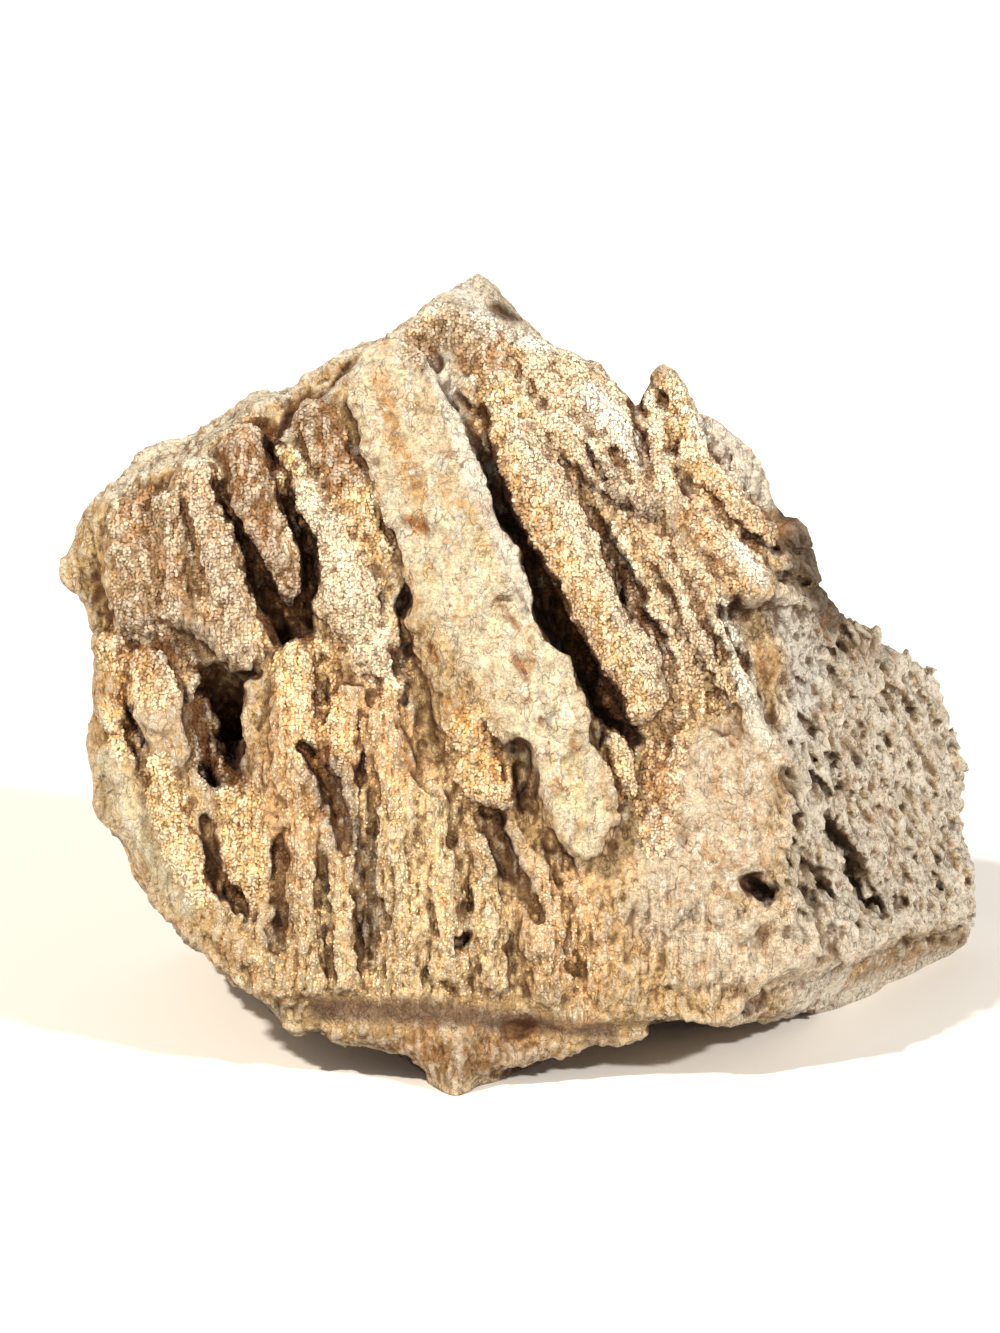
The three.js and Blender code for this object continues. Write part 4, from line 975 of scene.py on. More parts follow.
BROKEN = [
    # slab
    [(-46, 238, 10), (-31, 195, 14), (-15, 165, 15), (0, 140, 14), (14, 112, 11), (21, 90, 7)],
    # boss and nodules
    [(70, 108, 14), (66, 84, 20), (56, 62, 12)], [(66, 46, 12), (96, 44, 8)],
    # band under the belly, and underface
    [(-60, 26, 4), (-30, 25, 5), (10, 23, 5), (40, 20, 4)], [(108, 33, 4), (126, 42, 5), (148, 49, 4)],
    # lower left
    [(-138, 108, 5), (-128, 84, 6), (-112, 62, 5)], [(-122, 128, 8), (-116, 112, 6)],
]
BAND = [[(-66, 26, 4), (-30, 25, 5), (0, 22, 4), (30, 19, 3)]]
LEDGES = [[(90, 190, 6), (98, 172, 8), (106, 158, 6)]]
POCKET = [[(-8, 260, 2.5), (-2, 256, 2)]]
print("strokes:", sum(len(kind) for kind in (GRANULAR, SANDY, FIBROUS, BROKEN, BAND, LEDGES, POCKET)))

# %% Kinds of surface at every corner
SANDY_SHARE = 0.42   # of the rind's full strength
BACK_SHARE = 0.8     # how far the sides that the ribs turn away from are broken faces


def kinds(rows, turned):
    """How much of each kind of surface every corner has, from 0 to 1."""
    frontal = smooth(-0.2, 0.35, turned[:, 2])   # how much it faces out of the ribbed face
    rind = brush(rows, GRANULAR) * frontal
    fibrous = brush(rows, FIBROUS, 10) * frontal * (1 - rind)
    # The pores set in right of the flank's edge, where the stone faces right, above its foot rim.
    porous = smooth(82, 96, rows[:, 0]) * smooth(0.1, 0.5, turned[:, 0]) * smooth(36, 54, rows[:, 1])
    grainy = np.maximum(rind, SANDY_SHARE * brush(rows, SANDY, 12) * frontal)
    broken = np.maximum(brush(rows, BROKEN, 6) * frontal, BACK_SHARE * (1 - frontal)) * (1 - porous)
    return frontal, grainy, fibrous, porous, broken


places, normals = places_and_normals(skin)
rows, turned = leaned(places), leaned(normals)
frontal, grainy, fibrous, porous, broken = kinds(rows, turned)
for kind, share in (("grainy", grainy), ("fibrous", fibrous), ("porous", porous), ("broken", broken)):
    print(kind, "over", round(100 * share.mean()), "% of the corners")

# %% [markdown]
# ## Fine relief
#
# The skin is moved in and out along its own normals: tilted facets and flakes on the broken
# faces, tufts and knobs where silica grew, fibres down the belly and little grooves on the flank.
# Each is a noise whose lengths are in millimetres, u, v and w, worked at every corner.

# %% Patterns of the relief


def each(function):
    """A pattern worked at every corner."""
    return np.array([function(Vector(row)) for row in rows])


def stretched(p, *lengths):
    """Noise that is as long in u, v and w as the given millimetres."""
    return noise.noise(Vector([a / length for a, length in zip(p, lengths)]))


def facet(p, size):
    """A tilted flat over each random cell, as hackly stone breaks."""
    cell = noise.voronoi(p / size)[1][0]
    tilt = noise.cell_vector(cell * 7.31) - Vector((0.5, 0.5, 0.5))
    return (p / size - cell).dot(tilt)


def pore_groove(p):
    """Little grooves along the pores of the flank."""
    across, along = along_pores(p.x, p.y)
    return noise.noise(Vector((across / 2.0, along / 8, p.z / 3)))


unevenness = each(lambda p: noise.fractal(p / 9, 0.9, 2.1, 5))
facets = each(lambda p: facet(p, 8))
flakes = each(lambda p: facet(p, 17))
fibres = each(lambda p: stretched(p, 1.8, 17, 3))
knobs = each(lambda p: noise.fractal(p / 4.2, 1.0, 2.0, 2))
tufts = each(lambda p: abs(stretched(p, 2.7, 8, 4)) + 0.4 * abs(noise.noise(p / 2.1)))
flank_grooves = each(pore_groove)
pocks = each(lambda p: max(0.0, 1 - noise.voronoi(p / 3.1)[0][0] / 0.45))
layers = each(lambda p: noise.fractal(Vector((p.x / 9, p.y / 17, p.z / 12)), 1.0, 2.0, 2))
terraces = sum(smooth(edge - 0.03, edge + 0.03, layers) - 0.5 for edge in (-0.45, -0.2, 0.0, 0.2, 0.45))
print("patterns worked at", len(rows), "corners")

# %% Relief in millimetres

# The number before a pattern is its height in mm.
relief = (0.5 - 0.2 * broken) * unevenness
relief += (1.7 * facets + 2.4 * flakes + 0.4 * terraces) * broken
relief += 2.3 * (tufts - 0.3) * (1 - broken) * (1 - 0.5 * porous)
grown = 0.6 * knobs * grainy
grown += (1.4 * fibres + 0.5 * knobs) * fibrous
grown += (0.8 * knobs + 2.6 * flank_grooves) * porous
relief += grown
relief -= 0.5 * pocks * (1 - grainy) * smooth(0, 0.5, unevenness)

# Less on the slab's crisp edges and on the band, and none at the ground.
steep = 1 - smooth(0.5, 0.9, turned[:, 2])
relief *= 1 - 0.7 * brush(rows, BROKEN, 6) * frontal * steep
relief *= smooth(0.3, 3.0, places[:, 2]) * (1 - 0.7 * brush(rows, BAND, 6) * frontal)

bare_low, bare_high = places.min(axis=0), places.max(axis=0)
places += normals * relief[:, None]
places[:, 2] = np.maximum(places[:, 2], 0)
skin.vertices.foreach_set("co", places.astype(np.float32).ravel())
skin.update()
print("relief from", relief.min().round(2), "to", relief.max().round(2), "mm")

# %% [markdown]
# ## Fewer faces where it doesn't show
#
# The skin is thinned to about 190,000 triangles. A piece stays under 200,000 triangles. The
# Decimate modifier merges faces, and a vertex group tells it to merge more of them on the sides
# that the ribs turn away from.

# %% Thin the skin
MOST_FACES = 190_000
LEVELS = 10   # steps in which the vertex group's weight is given

body = bpy.data.objects.new("silicified_wood_body", skin)
bpy.context.scene.collection.objects.link(body)
worn = body.vertex_groups.new(name="worn side")
weight = np.ceil((1 - frontal * 0.9) * LEVELS)
for level in range(1, LEVELS + 1):
    worn.add(np.flatnonzero(weight == level).tolist(), level / LEVELS, "REPLACE")
thin = body.modifiers.new("thin", "DECIMATE")
thin.vertex_group = worn.name
thin.vertex_group_factor = 3.0
thin.ratio = min(1, MOST_FACES / triangles_in(skin))
depsgraph = bpy.context.evaluated_depsgraph_get()
thinned = bpy.data.meshes.new_from_object(body.evaluated_get(depsgraph))
body.modifiers.clear()
body.vertex_groups.clear()
body.data = thinned
thinned.shade_smooth()
print("body:", triangles_in(thinned), "triangles")

# %% [markdown]
# ## What the surface knows
#
# Each corner keeps how deep it lies in a hollow, how far it stands out on a crest, which kind of
# surface it is on and the tone of the stone there. The materials read these.
#
# Depth is found in two ways. A copy of the skin is eased, each corner to the mean of its
# neighbours, a few, some or many rounds, and a corner that lies under the eased skin is in a
# furrow of that size. And the field itself, read a little way out, tells how open the place is.

# %% Hollows and crests
places, normals = places_and_normals(thinned)
rows, turned = leaned(places), leaned(normals)
frontal, grainy, fibrous, porous, broken = kinds(rows, turned)


def sampled(spots):
    """The field at any places, between its samples."""
    steps = np.clip((spots - LOWEST) / CELL, 0, np.array(field.shape) - 1.001)
    base = steps.astype(int)
    part = steps - base
    total = 0
    for offset in OFFSETS:
        share = np.where(offset, part, 1 - part).prod(axis=1)
        total = total + share * field[tuple((base + offset).T)]
    last = LOWEST + CELL * (np.array(field.shape) - 2)
    beyond = (spots < LOWEST + np.array(CELL)) | (spots > last)
    return np.where(beyond.any(axis=1), 100.0, total)


def depths(mesh, places, normals, rounds):
    """How deep each corner lies, in mm, below the skin eased so many rounds."""
    ends = np.empty(len(mesh.edges) * 2, np.int32)
    mesh.edges.foreach_get("vertices", ends)
    first, second = ends.reshape(-1, 2).T
    size = len(places)
    neighbours = np.bincount(ends, minlength=size)[:, None]
    eased, found = np.concatenate([places, normals], axis=1), []
    for turn in range(1, max(rounds) + 1):
        total = [np.bincount(first, column[second], size) + np.bincount(second, column[first], size)
                 for column in eased.T]
        eased = np.stack(total, axis=1) / neighbours
        if turn in rounds:
            out = eased[:, 3:] / np.maximum(np.linalg.norm(eased[:, 3:], axis=1), 0.2)[:, None]
            found.append(((eased[:, :3] - places) * out).sum(axis=1))
    return found


fine_depth, depth, great_depth = depths(thinned, places, normals, (3, 18, 150))
for name, values in (("fine", fine_depth), ("middle", depth), ("great", great_depth)):
    below = np.percentile(values, (5, 50, 95, 99)).round(2)
    print(name, "depth: 5, 50, 95, 99 % of corners below", below, "mm")

# %% From depths to shares
OPEN_AT = {3: 0.15, 7: 0.25, 14: 0.3, 25: 0.3}   # how far out, in mm, and how much that counts
CREST = 3                                        # mm of stone under a place that is no crest

furrow = np.clip(0.5 + 0.5 * fine_depth / 0.7 + 0.25 * depth / 1.5, 0, 1)   # 0.5 is level
openness = 0
for step, share in OPEN_AT.items():
    openness = openness + share * np.clip(sampled(rows + turned * step) / step, 0, 1)
hollow = np.maximum(1 - openness, 0.95 * smooth(3, 9, great_depth))
crest = 1 - np.clip(-sampled(rows - turned * CREST) / CREST, 0, 1)

# The band, with its painted shade, the ledges and the pocket are plain brown, with no pale crests and no
# lines.
plain = np.maximum(brush(rows, BAND, 6) * frontal, brush(rows, LEDGES + POCKET, 6))
broken = broken * (1 - 0.9 * plain)
crest = crest * (1 - plain)
furrow = 0.5 + (furrow - 0.5) * (1 - 0.7 * plain)
print("in hollows:", round(100 * (hollow > 0.5).mean()), "% of the corners")

# %% [markdown]
# ## Tones of the stone
#
# Iron stains silica from cream to ochre and brown, and each part of the lump has a tone of its
# own. The tones are laid one over the other with the same brush as the kinds of surface: first
# what turns up, down, back or aside, then each part of the front, then cracks and edges. Some
# of them are painted light and shade: a paler top, darker faces turned down, warmer faces turned
# left, the two sides of the big rib, and darker troughs, furrows, overhangs and the hollow.

# %% Colours, stains and painted light and shade


def linear(code):
    """A linear colour from a hex code of the sRGB colour one sees."""
    parts = np.array([int(code[n:n + 2], 16) for n in (1, 3, 5)]) / 255
    return np.where(parts <= 0.04045, parts / 12.92, ((parts + 0.055) / 1.055) ** 2.4)


def lay_stain_or_light(code, share):
    """Lays a stain, or painted light or shade, over the tone of every corner by a share of its own."""
    global tone
    share = np.asarray(share)[:, None]
    tone = tone * (1 - share) + linear(code) * share


tone = np.tile(linear("#e2c08c"), (len(rows), 1))
upwards = smooth(0.45, 0.75, normals[:, 2])
lay_stain_or_light("#d8bd94", smooth(0.1, 0.5, -turned[:, 2]))          # worn back
# the top's pale colour, partly a painted highlight on the faces turned up
lay_stain_or_light("#f5ead0", upwards * smooth(150, 200, rows[:, 1]))   # pale top
# ochre of the left end, partly painted warm light on the faces turned left
lay_stain_or_light("#d9ae78", smooth(0.6, 0.85, -normals[:, 0]))        # ochre left end
# painted shade: the faces turned down are darker
lay_stain_or_light("#a88a62", smooth(0.3, 0.6, -normals[:, 2]))         # underside
lay_stain_or_light("#fdf2e0", smooth(82, 98, rows[:, 0]) * smooth(0.0, 0.5, turned[:, 0]))   # porous flank
print("tone: mean", tone.mean(axis=0).round(2))

# %% Tones of the front
FRONT_TONES = [   # colour, share, softness, strokes (u, v, half width)
    # belly, and the stone above it
    ("#ffdda6", 0.9, 12, [
        [(-40, 96, 14), (-36, 44, 18)], [(-66, 70, 8), (-64, 44, 8)], [(-10, 60, 8), (-8, 42, 8)]]),
    ("#ffcf96", 0.85, 10, [
        [(-74, 118, 12), (-76, 70, 8)], [(-50, 128, 14), (-46, 108, 12)], [(12, 62, 14), (22, 42, 10)]]),
    # slab, and its foot
    ("#fbedcb", 0.95, 6, [
        [(-46, 238, 11), (-31, 195, 15), (-15, 165, 16), (0, 140, 15), (14, 112, 11), (22, 90, 7)]]),
    ("#f6e9c4", 0.8, 8, [[(12, 112, 9), (19, 96, 8), (22, 80, 4)]]),
    # left-hand ribs, from the far left
    ("#a58a6c", 0.9, 8, [[(-125, 188, 13), (-124, 160, 12)], [(-128, 148, 8), (-112, 144, 8)]]),
    ("#bfaa90", 0.85, 8, [
        [(-106, 200, 7), (-100, 172, 8), (-96, 156, 7)], [(-112, 158, 6), (-92, 146, 5)]]),
    ("#8d6641", 0.9, 6, [[(-92, 212, 9), (-84, 180, 7), (-76, 163, 5)], [(-68, 224, 8), (-60, 206, 7)]]),
    ("#e8d7ba", 0.85, 6, [[(-71, 198, 6), (-66, 186, 8), (-57, 163, 11), (-46, 140, 7)]]),
    # big rib's left half and far side, partly painted warm and cool light, and the ribs right of it
    ("#dfb684", 0.8, 7, [[(-13, 220, 3), (0, 192, 6), (18, 156, 7), (31, 128, 7)]]),
    ("#e2d0b4", 0.8, 7, [[(4, 216, 6), (22, 184, 6), (36, 158, 6), (46, 136, 4)]]),
    ("#dcc6a6", 0.8, 12, [[(10, 236, 12), (36, 208, 12), (60, 180, 16), (60, 150, 18)]]),
    # summit, and painted shade under the lobes' overhang, then pale bare edges
    ("#9f866a", 0.85, 8, [[(-32, 246, 7), (-22, 254, 7), (-10, 242, 7)], [(22, 200, 5), (46, 190, 4)]]),
    ("#fff9ec", 0.9, 5, [
        [(24, 230, 4), (34, 218, 5), (40, 209, 3)], [(72, 180, 3), (80, 170, 3)],
        [(-21, 267, 2.5), (-13, 259, 3.5), (-9, 253, 3), (-2, 251, 2.5), (9, 247, 2.5)]]),
    ("#f2ebde", 0.9, 5, [[(62, 220, 5), (72, 211, 6), (82, 196, 4)]]),
    # boss and nodules, and the brown edge beside them
    ("#e6d4ba", 0.9, 12, [[(68, 108, 14), (64, 84, 20), (50, 60, 14)], [(66, 46, 14), (96, 46, 10)]]),
    ("#b39473", 0.7, 6, [[(52, 128, 4), (46, 104, 5), (45, 84, 4)]]),
    # lower left
    ("#e6d8b2", 0.9, 6, [[(-138, 108, 5), (-128, 84, 6), (-112, 62, 5)]]),
    ("#e3cba6", 0.8, 8, [[(-122, 128, 8), (-116, 112, 6)]]),
    # rust, on the ribs and in patches on the slab, then painted shade under the slab's small steps
    ("#cf9c5e", 0.7, 8, [
        [(-137, 130, 6), (-128, 142, 6)], [(48, 238, 5)], [(60, 206, 4), (80, 183, 4)],
        [(56, 190, 4), (74, 168, 4)], [(33, 98, 4)]]),
    ("#e0ac68", 0.75, 5, [
        [(-47, 236, 3), (-41, 214, 4), (-33, 196, 3)], [(-34, 188, 4)], [(-22, 128, 4), (-8, 104, 3)]]),
    ("#fbe2a0", 0.6, 7, [[(-18, 190, 5), (-12, 178, 4)], [(-31, 172, 4)], [(14, 108, 4), (18, 98, 4)]]),
    # painted shade under the small steps and in the recesses of the slab
    ("#a9682c", 0.85, 2, [
        [(-8, 163, 0.8), (0, 152, 1)], [(-2, 145, 1.2), (2, 136, 1.4)], [(-20, 139, 1.2), (-18, 137, 1)],
        [(6, 123, 1.2), (8, 121, 1)], [(18, 115, 1), (19, 112, 1)], [(-38, 189, 1.4), (-31, 186, 1.6)],
        [(-27, 210, 0.8), (-21, 211, 0.8)], [(-55, 213, 0.6), (-43, 219, 0.8)],
        [(-30, 148, 0.8), (-27, 142, 1)]]),
    # the sharp ridge's bare crest and a painted highlight on the slab's right edge, and soil beside the
    # ridge
    ("#fffae8", 1.0, 3, [
        [(68, 160, 2.5), (73, 142, 3.5), (79, 122, 3.5), (86, 109, 2.5)],
        [(-27, 240, 4), (-14, 200, 4), (4, 160, 4)]]),
    ("#b8a07c", 0.8, 4, [[(76, 162, 5), (82, 158, 3)]]),
    # painted shade in the troughs of the belly, then in thin furrows between the small ribs
    ("#5a3d24", 0.75, 6, [
        [(-51, 78, 3), (-50, 44, 3)], [(-66, 108, 7), (-58, 84, 5)], [(-80, 76, 2.5), (-81, 50, 2.5)],
        [(-10, 88, 4), (-2, 72, 4), (4, 60, 3)]]),
    ("#8a6844", 0.65, 3, [
        [(14, 207, 1), (26, 189, 1.2), (32, 174, 1.2), (42, 155, 1.2)], [(29, 213, 0.8), (33, 197, 0.8)],
        [(40, 213, 0.8), (46, 193, 0.8), (54, 171, 0.8)], [(51, 207, 0.8), (59, 189, 0.8), (66, 170, 0.8)],
        [(56, 168, 0.8), (65, 153, 0.8), (71, 141, 0.8)]]),
    # painted shade inside the hollow on the left
    ("#6b4522", 0.85, 5, [
        [(-105, 136, 4), (-107, 120, 4), (-103, 104, 5)], [(-93, 112, 3), (-94, 102, 4)],
        [(-118, 146, 5)]]),
    # painted shade on the band under the belly, then the nose and the underface
    ("#7d6550", 0.95, 5, BAND),
    ("#a07d54", 0.9, 5, [[(-50, 14, 5), (-22, 8, 8), (10, 12, 4)]]),
    ("#b7986f", 0.9, 5, [[(116, 38, 4), (134, 46, 5), (150, 48, 4)]]),
]
for code, share, soft, strokes in FRONT_TONES:
    lay_stain_or_light(code, share * brush(rows, strokes, soft) * frontal)
print(len(FRONT_TONES), "tones on the front, mean", tone.mean(axis=0).round(2))

# %% Tones that turn aside with the stone
SIDE_TONES = [
    ("#4f3a25", 0.95, 8, LEDGES),
    ("#5a3b20", 0.95, 3, POCKET),
    # painted shade under the ledges
    ("#8c7052", 0.7, 10, [[(104, 152, 6), (120, 144, 4)]]),              # under the ledges
    ("#fffaf0", 0.85, 8, [[(88, 158, 5), (96, 142, 6), (92, 116, 5)]]),   # white crust on the flank's edge
]
for code, share, soft, strokes in SIDE_TONES:
    lay_stain_or_light(code, share * brush(rows, strokes, soft))
print(len(SIDE_TONES), "tones on the sides, mean", tone.mean(axis=0).round(2))

# %% Keep it all on the corners


def keep_on(mesh, name, values):
    """Keeps a number, or a colour, for every corner as an attribute."""
    layer = mesh.attributes.new(name, "FLOAT_COLOR" if values.ndim == 2 else "FLOAT", "POINT")
    if values.ndim == 2:
        values = np.concatenate([values, np.ones((len(values), 1))], axis=1)
        layer.data.foreach_set("color", values.astype(np.float32).ravel())
    else:
        layer.data.foreach_set("value", values.astype(np.float32))


flank_side = smooth(82, 92, rows[:, 0]) * smooth(30, 50, rows[:, 1])
KEPT = {
    "broken": broken, "hollow": hollow, "furrow": furrow, "flank_side": flank_side, "crest": crest,
    "grainy": grainy, "fibrous": fibrous, "porous": porous, "tone": tone,
}
for name, values in KEPT.items():
    keep_on(thinned, name, values)
print("kept:", *KEPT)

# %% [markdown]
# ## Fit into the frame
#
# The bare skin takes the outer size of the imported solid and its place: it is moved and drawn by
# a hair. What roughness adds beyond that box is pressed back on to it.

# %% Fit
scale = (box_hi - box_lo) / (bare_high - bare_low)


def settled(rows):
    """Places in the stone's own millimetres turned into metres in the frame."""
    return np.clip(box_lo + (np.asarray(rows) - bare_low) * scale, box_lo, box_hi) / 1000


thinned.vertices.foreach_set("co", settled(places).astype(np.float32).ravel())
thinned.update()
print("fitted by", scale.round(4))

# %% [markdown]
# ## Silicified wood
#
# Silica took the place of the wood, and iron stained it. It is dull and rough like any natural
# break. Its tone comes from the corners. On top of it come rust, tan and chalk in clouds, hair
# cracks, creases darkened as painted shade, painted shadow lines under little ledges, soil and
# painted shade in the hollows, painted shade in furrows and painted highlight between them,
# crests paler with wear and painted highlight, painted shade in the gaps between beads, streaks
# along the fibres and grit. The bump has beads, fibres, grit, chips on the breaks and the cracks.

# %% Node helper
MATH, MIX, RANGE = "ShaderNodeMath", "ShaderNodeMix", "ShaderNodeMapRange"
ATTRIBUTE, NOISE, VORONOI = "ShaderNodeAttribute", "ShaderNodeTexNoise", "ShaderNodeTexVoronoi"
TIMES, PLUS, MINUS = ({"operation": name} for name in ("MULTIPLY", "ADD", "SUBTRACT"))
EASED = {"interpolation_type": "SMOOTHSTEP"}
TINTED = {"data_type": "RGBA", "out": 2}   # a Mix node's inputs are then 0, 6 and 7


def add(tree, kind, inputs=None, out=0, **settings):
    """Adds a node with its settings; each input gets a value or a link from another socket.

    Gives back the output that is asked for, or the whole node where out is None."""
    made = tree.nodes.new(kind)
    for name, value in settings.items():
        setattr(made, name, value)
    for name, value in (inputs or {}).items():
        socket = made.inputs[name]
        if isinstance(value, bpy.types.NodeSocket):
            tree.links.new(value, socket)
        else:
            socket.default_value = value
    return made if out is None else made.outputs[out]


def colour(code):
    return (*linear(code), 1)


def blank(name, gives):
    """An empty material, with what it gives the eye kept beside it."""
    made = bpy.data.materials.new(name)
    made.use_nodes = True
    made["gives"] = gives
    made.node_tree.nodes.clear()
    return made


# Quartz that grew in place of wood, broken and weathered: IOR 1.5, no metal, dull all over. What
# the eye gets is its cream to rust colour and its grain; it has next to no gloss.
wood = blank("silicified wood", "cream to rust stone with beads, fibres and pores")
tree = wood.node_tree
print("material:", wood.name)


# %% Patterns in millimetres


def leaning(tree, lengths):
    """Coordinates along u, v, w, counted in the given lengths in mm."""
    place = add(tree, "ShaderNodeTexCoord", out="Object")
    level = add(tree, "ShaderNodeMapping", {0: place, "Rotation": (LEAN - math.pi / 2, 0, 0)})
    return add(tree, "ShaderNodeMapping", {0: level, "Scale": tuple(1000 / n for n in lengths)})


def cloudy(tree, length, detail, roughness=0.55, warp=0.0):
    """Noise about one length in mm across, or three lengths along u, v and w."""
    lengths = length if isinstance(length, tuple) else (length,) * 3
    return add(tree, NOISE, {
        "Vector": leaning(tree, lengths), "Scale": 1.0, "Detail": detail,
        "Roughness": roughness, "Distortion": warp})


def creased(tree, length, width):
    """1 on thin winding lines, 0 between them."""
    off_line = add(tree, MATH, {0: cloudy(tree, length, 2, 0.5, 0.5), 1: 0.5}, **MINUS)
    off_line = add(tree, MATH, {0: off_line}, operation="ABSOLUTE")
    return add(tree, MATH, {0: 1.0, 1: add(tree, RANGE, {0: off_line, 1: 0.0, 2: width}, **EASED)}, **MINUS)


fine = cloudy(tree, 0.6, 2, 0.7)
grit = cloudy(tree, 1.9, 5, 0.75, 0.6)
print("two patterns:", len(tree.nodes), "nodes")

# %% Stains, clouds, and painted light and shade on furrows
STAINS = [
    # colour, lengths of the cloud in mm (one, or along u, v and w), detail, roughness, warp,
    # where it sets in, where it is full, most share, on breaks only
    ("#c98a45", 17, 4, 0.55, 0.0, 0.5, 0.74, 0.4, False),           # rust
    ("#b5793c", 7, 4, 0.6, 0.8, 0.6, 0.68, 0.55, False),            # rust spots
    ("#d5a46a", (6, 16, 9), 4, 0.6, 0.5, 0.5, 0.64, 0.55, True),    # tan
    ("#fffaea", (4, 9, 6), 5, 0.65, 0.8, 0.54, 0.62, 0.75, True),   # chalk
]

def stained(tree, shade, bare):
    """Stains and light and dark clouds over a shade; bare is 1 on broken faces."""
    for code, length, detail, roughness, warp, start, full, most, on_breaks in STAINS:
        cloud = cloudy(tree, length, detail, roughness, warp)
        share = add(tree, RANGE, {0: cloud, 1: start, 2: full, 4: most}, **EASED)
        if on_breaks:
            share = add(tree, MATH, {0: share, 1: bare}, **TIMES)
        shade = add(tree, MIX, {0: share, 6: shade, 7: colour(code)}, **TINTED)
    cloud = add(tree, RANGE, {0: cloudy(tree, 6, 5, 0.65), 1: 0.3, 2: 0.7, 3: 0.82, 4: 1.2}, **EASED)
    return add(tree, MIX, {0: 1.0, 6: shade, 7: cloud}, blend_type="MULTIPLY", **TINTED)


def furrow_light_and_shade(tree, shade, furrow, rough):
    """Painted highlight on what stands between furrows, painted shade in them where the face is rough."""
    lifted = add(tree, RANGE, {0: furrow, 1: 0.5, 2: 0.12, 4: 0.35}, **EASED)
    shade = add(tree, MIX, {0: lifted, 6: shade, 7: colour("#fbf2df")}, **TINTED)
    sunk = add(tree, RANGE, {0: furrow, 1: 0.55, 2: 1.0, 4: 0.75}, **EASED)
    sunk = add(tree, MATH, {0: sunk, 1: rough}, **TIMES)
    return add(tree, MIX, {0: sunk, 6: shade, 7: colour("#6a4526")}, **TINTED)


print(len(STAINS), "stains")

# %% Creases with painted shade, hair cracks, and painted ledge shadows


def crease_shade_and_cracks(tree, rough):
    """Short creases in patches on rough faces, darkened as painted shade, and hair cracks anywhere."""
    patch = add(tree, RANGE, {0: cloudy(tree, 9, 3), 1: 0.38, 2: 0.62}, **EASED)
    crease = add(tree, MATH, {0: creased(tree, (2.6, 4.6, 3.0), 0.05), 1: patch}, **TIMES)
    crease = add(tree, MATH, {0: crease, 1: rough}, **TIMES)
    crease = add(tree, MATH, {0: crease, 1: 0.7}, **TIMES)
    hair = add(tree, MATH, {0: creased(tree, (5.5, 9, 5.5), 0.018), 1: 0.6}, **TIMES)
    return add(tree, MATH, {0: crease, 1: hair}, operation="MAXIMUM")


def ledge_shadow_lines(tree, bare):
    """Painted shadow lines under little ledges across the grain of broken faces, which are colour only."""
    patch = add(tree, RANGE, {0: cloudy(tree, 11, 2), 1: 0.45, 2: 0.6}, **EASED)
    ledge_shadow = add(tree, MATH, {0: creased(tree, (8, 3.4, 8), 0.03), 1: patch}, **TIMES)
    ledge_shadow = add(tree, MATH, {0: ledge_shadow, 1: bare}, **TIMES)
    return add(tree, MATH, {0: ledge_shadow, 1: 0.6}, **TIMES)


SHARES_READ = "hollow", "crest", "furrow", "broken", "porous", "flank_side"
print("weathering reads tone and", *SHARES_READ)

# %% Weathering and painted light and shade, which skin and grains share
# Soil and painted shade that darken the hollows with their depth, nearly black in the deepest.
SOIL_AND_SHADE_LAYERS = [
    # colour on the front, on the flank, depth where it sets in, depth where it is full, most share
    ("#6e4525", "#a58e72", 0.36, 0.62, 0.85),
    ("#241208", "#654f39", 0.55, 0.85, 0.95),
]


def weathered_and_shaded(tree):
    """The stone's own colour in a material with soil, wear and painted light and shade, and where its
    cracks are.
    """
    shade = add(tree, ATTRIBUTE, out="Color", attribute_name="tone")
    deep, crest, furrow, bare, pores, on_flank = (
        add(tree, ATTRIBUTE, out="Fac", attribute_name=name) for name in SHARES_READ)
    half = add(tree, MATH, {0: pores, 1: 0.5}, **TIMES)
    even = add(tree, MATH, {0: bare, 1: half}, operation="MAXIMUM")
    rough = add(tree, MATH, {0: 1.0, 1: add(tree, MATH, {0: even, 1: 0.6}, **TIMES)}, **MINUS)

    shade = stained(tree, shade, bare)
    shade = furrow_light_and_shade(tree, shade, furrow, rough)
    line = crease_shade_and_cracks(tree, rough)
    # painted shadow lines under little ledges on the breaks
    shade = add(tree, MIX, {0: ledge_shadow_lines(tree, bare), 6: shade, 7: colour("#a8794a")}, **TINTED)
    # painted shade in the creases, and the hair cracks
    shade = add(tree, MIX, {0: line, 6: shade, 7: colour("#5b391d")}, **TINTED)
    # soil and painted shade, darker the deeper the hollow
    for front, flank, start, full, most in SOIL_AND_SHADE_LAYERS:
        soil_and_shade = add(tree, MIX, {0: on_flank, 6: colour(front), 7: colour(flank)}, **TINTED)
        share = add(tree, RANGE, {0: deep, 1: start, 2: full, 4: most}, **EASED)
        shade = add(tree, MIX, {0: share, 6: shade, 7: soil_and_shade}, **TINTED)

    # crests paler, partly wear and partly a painted highlight
    high_up = add(tree, RANGE, {0: crest, 1: 0.25, 2: 0.8}, **EASED)
    patch = add(tree, RANGE, {0: cloudy(tree, 4, 3), 1: 0.4, 2: 0.65}, **EASED)
    rubbed_and_highlit = add(tree, MATH, {0: high_up, 1: patch}, **TIMES)
    rubbed_and_highlit = add(tree, MATH, {0: rubbed_and_highlit, 1: 0.5}, **TIMES)
    return add(tree, MIX, {0: rubbed_and_highlit, 6: shade, 7: colour("#f8eed8")}, **TINTED), line


shade, line = weathered_and_shaded(tree)
print("weathered:", len(tree.nodes), "nodes")

# %% Silicified wood: colour
grain_share = add(tree, ATTRIBUTE, out="Fac", attribute_name="grainy")
fibre_share = add(tree, ATTRIBUTE, out="Fac", attribute_name="fibrous")

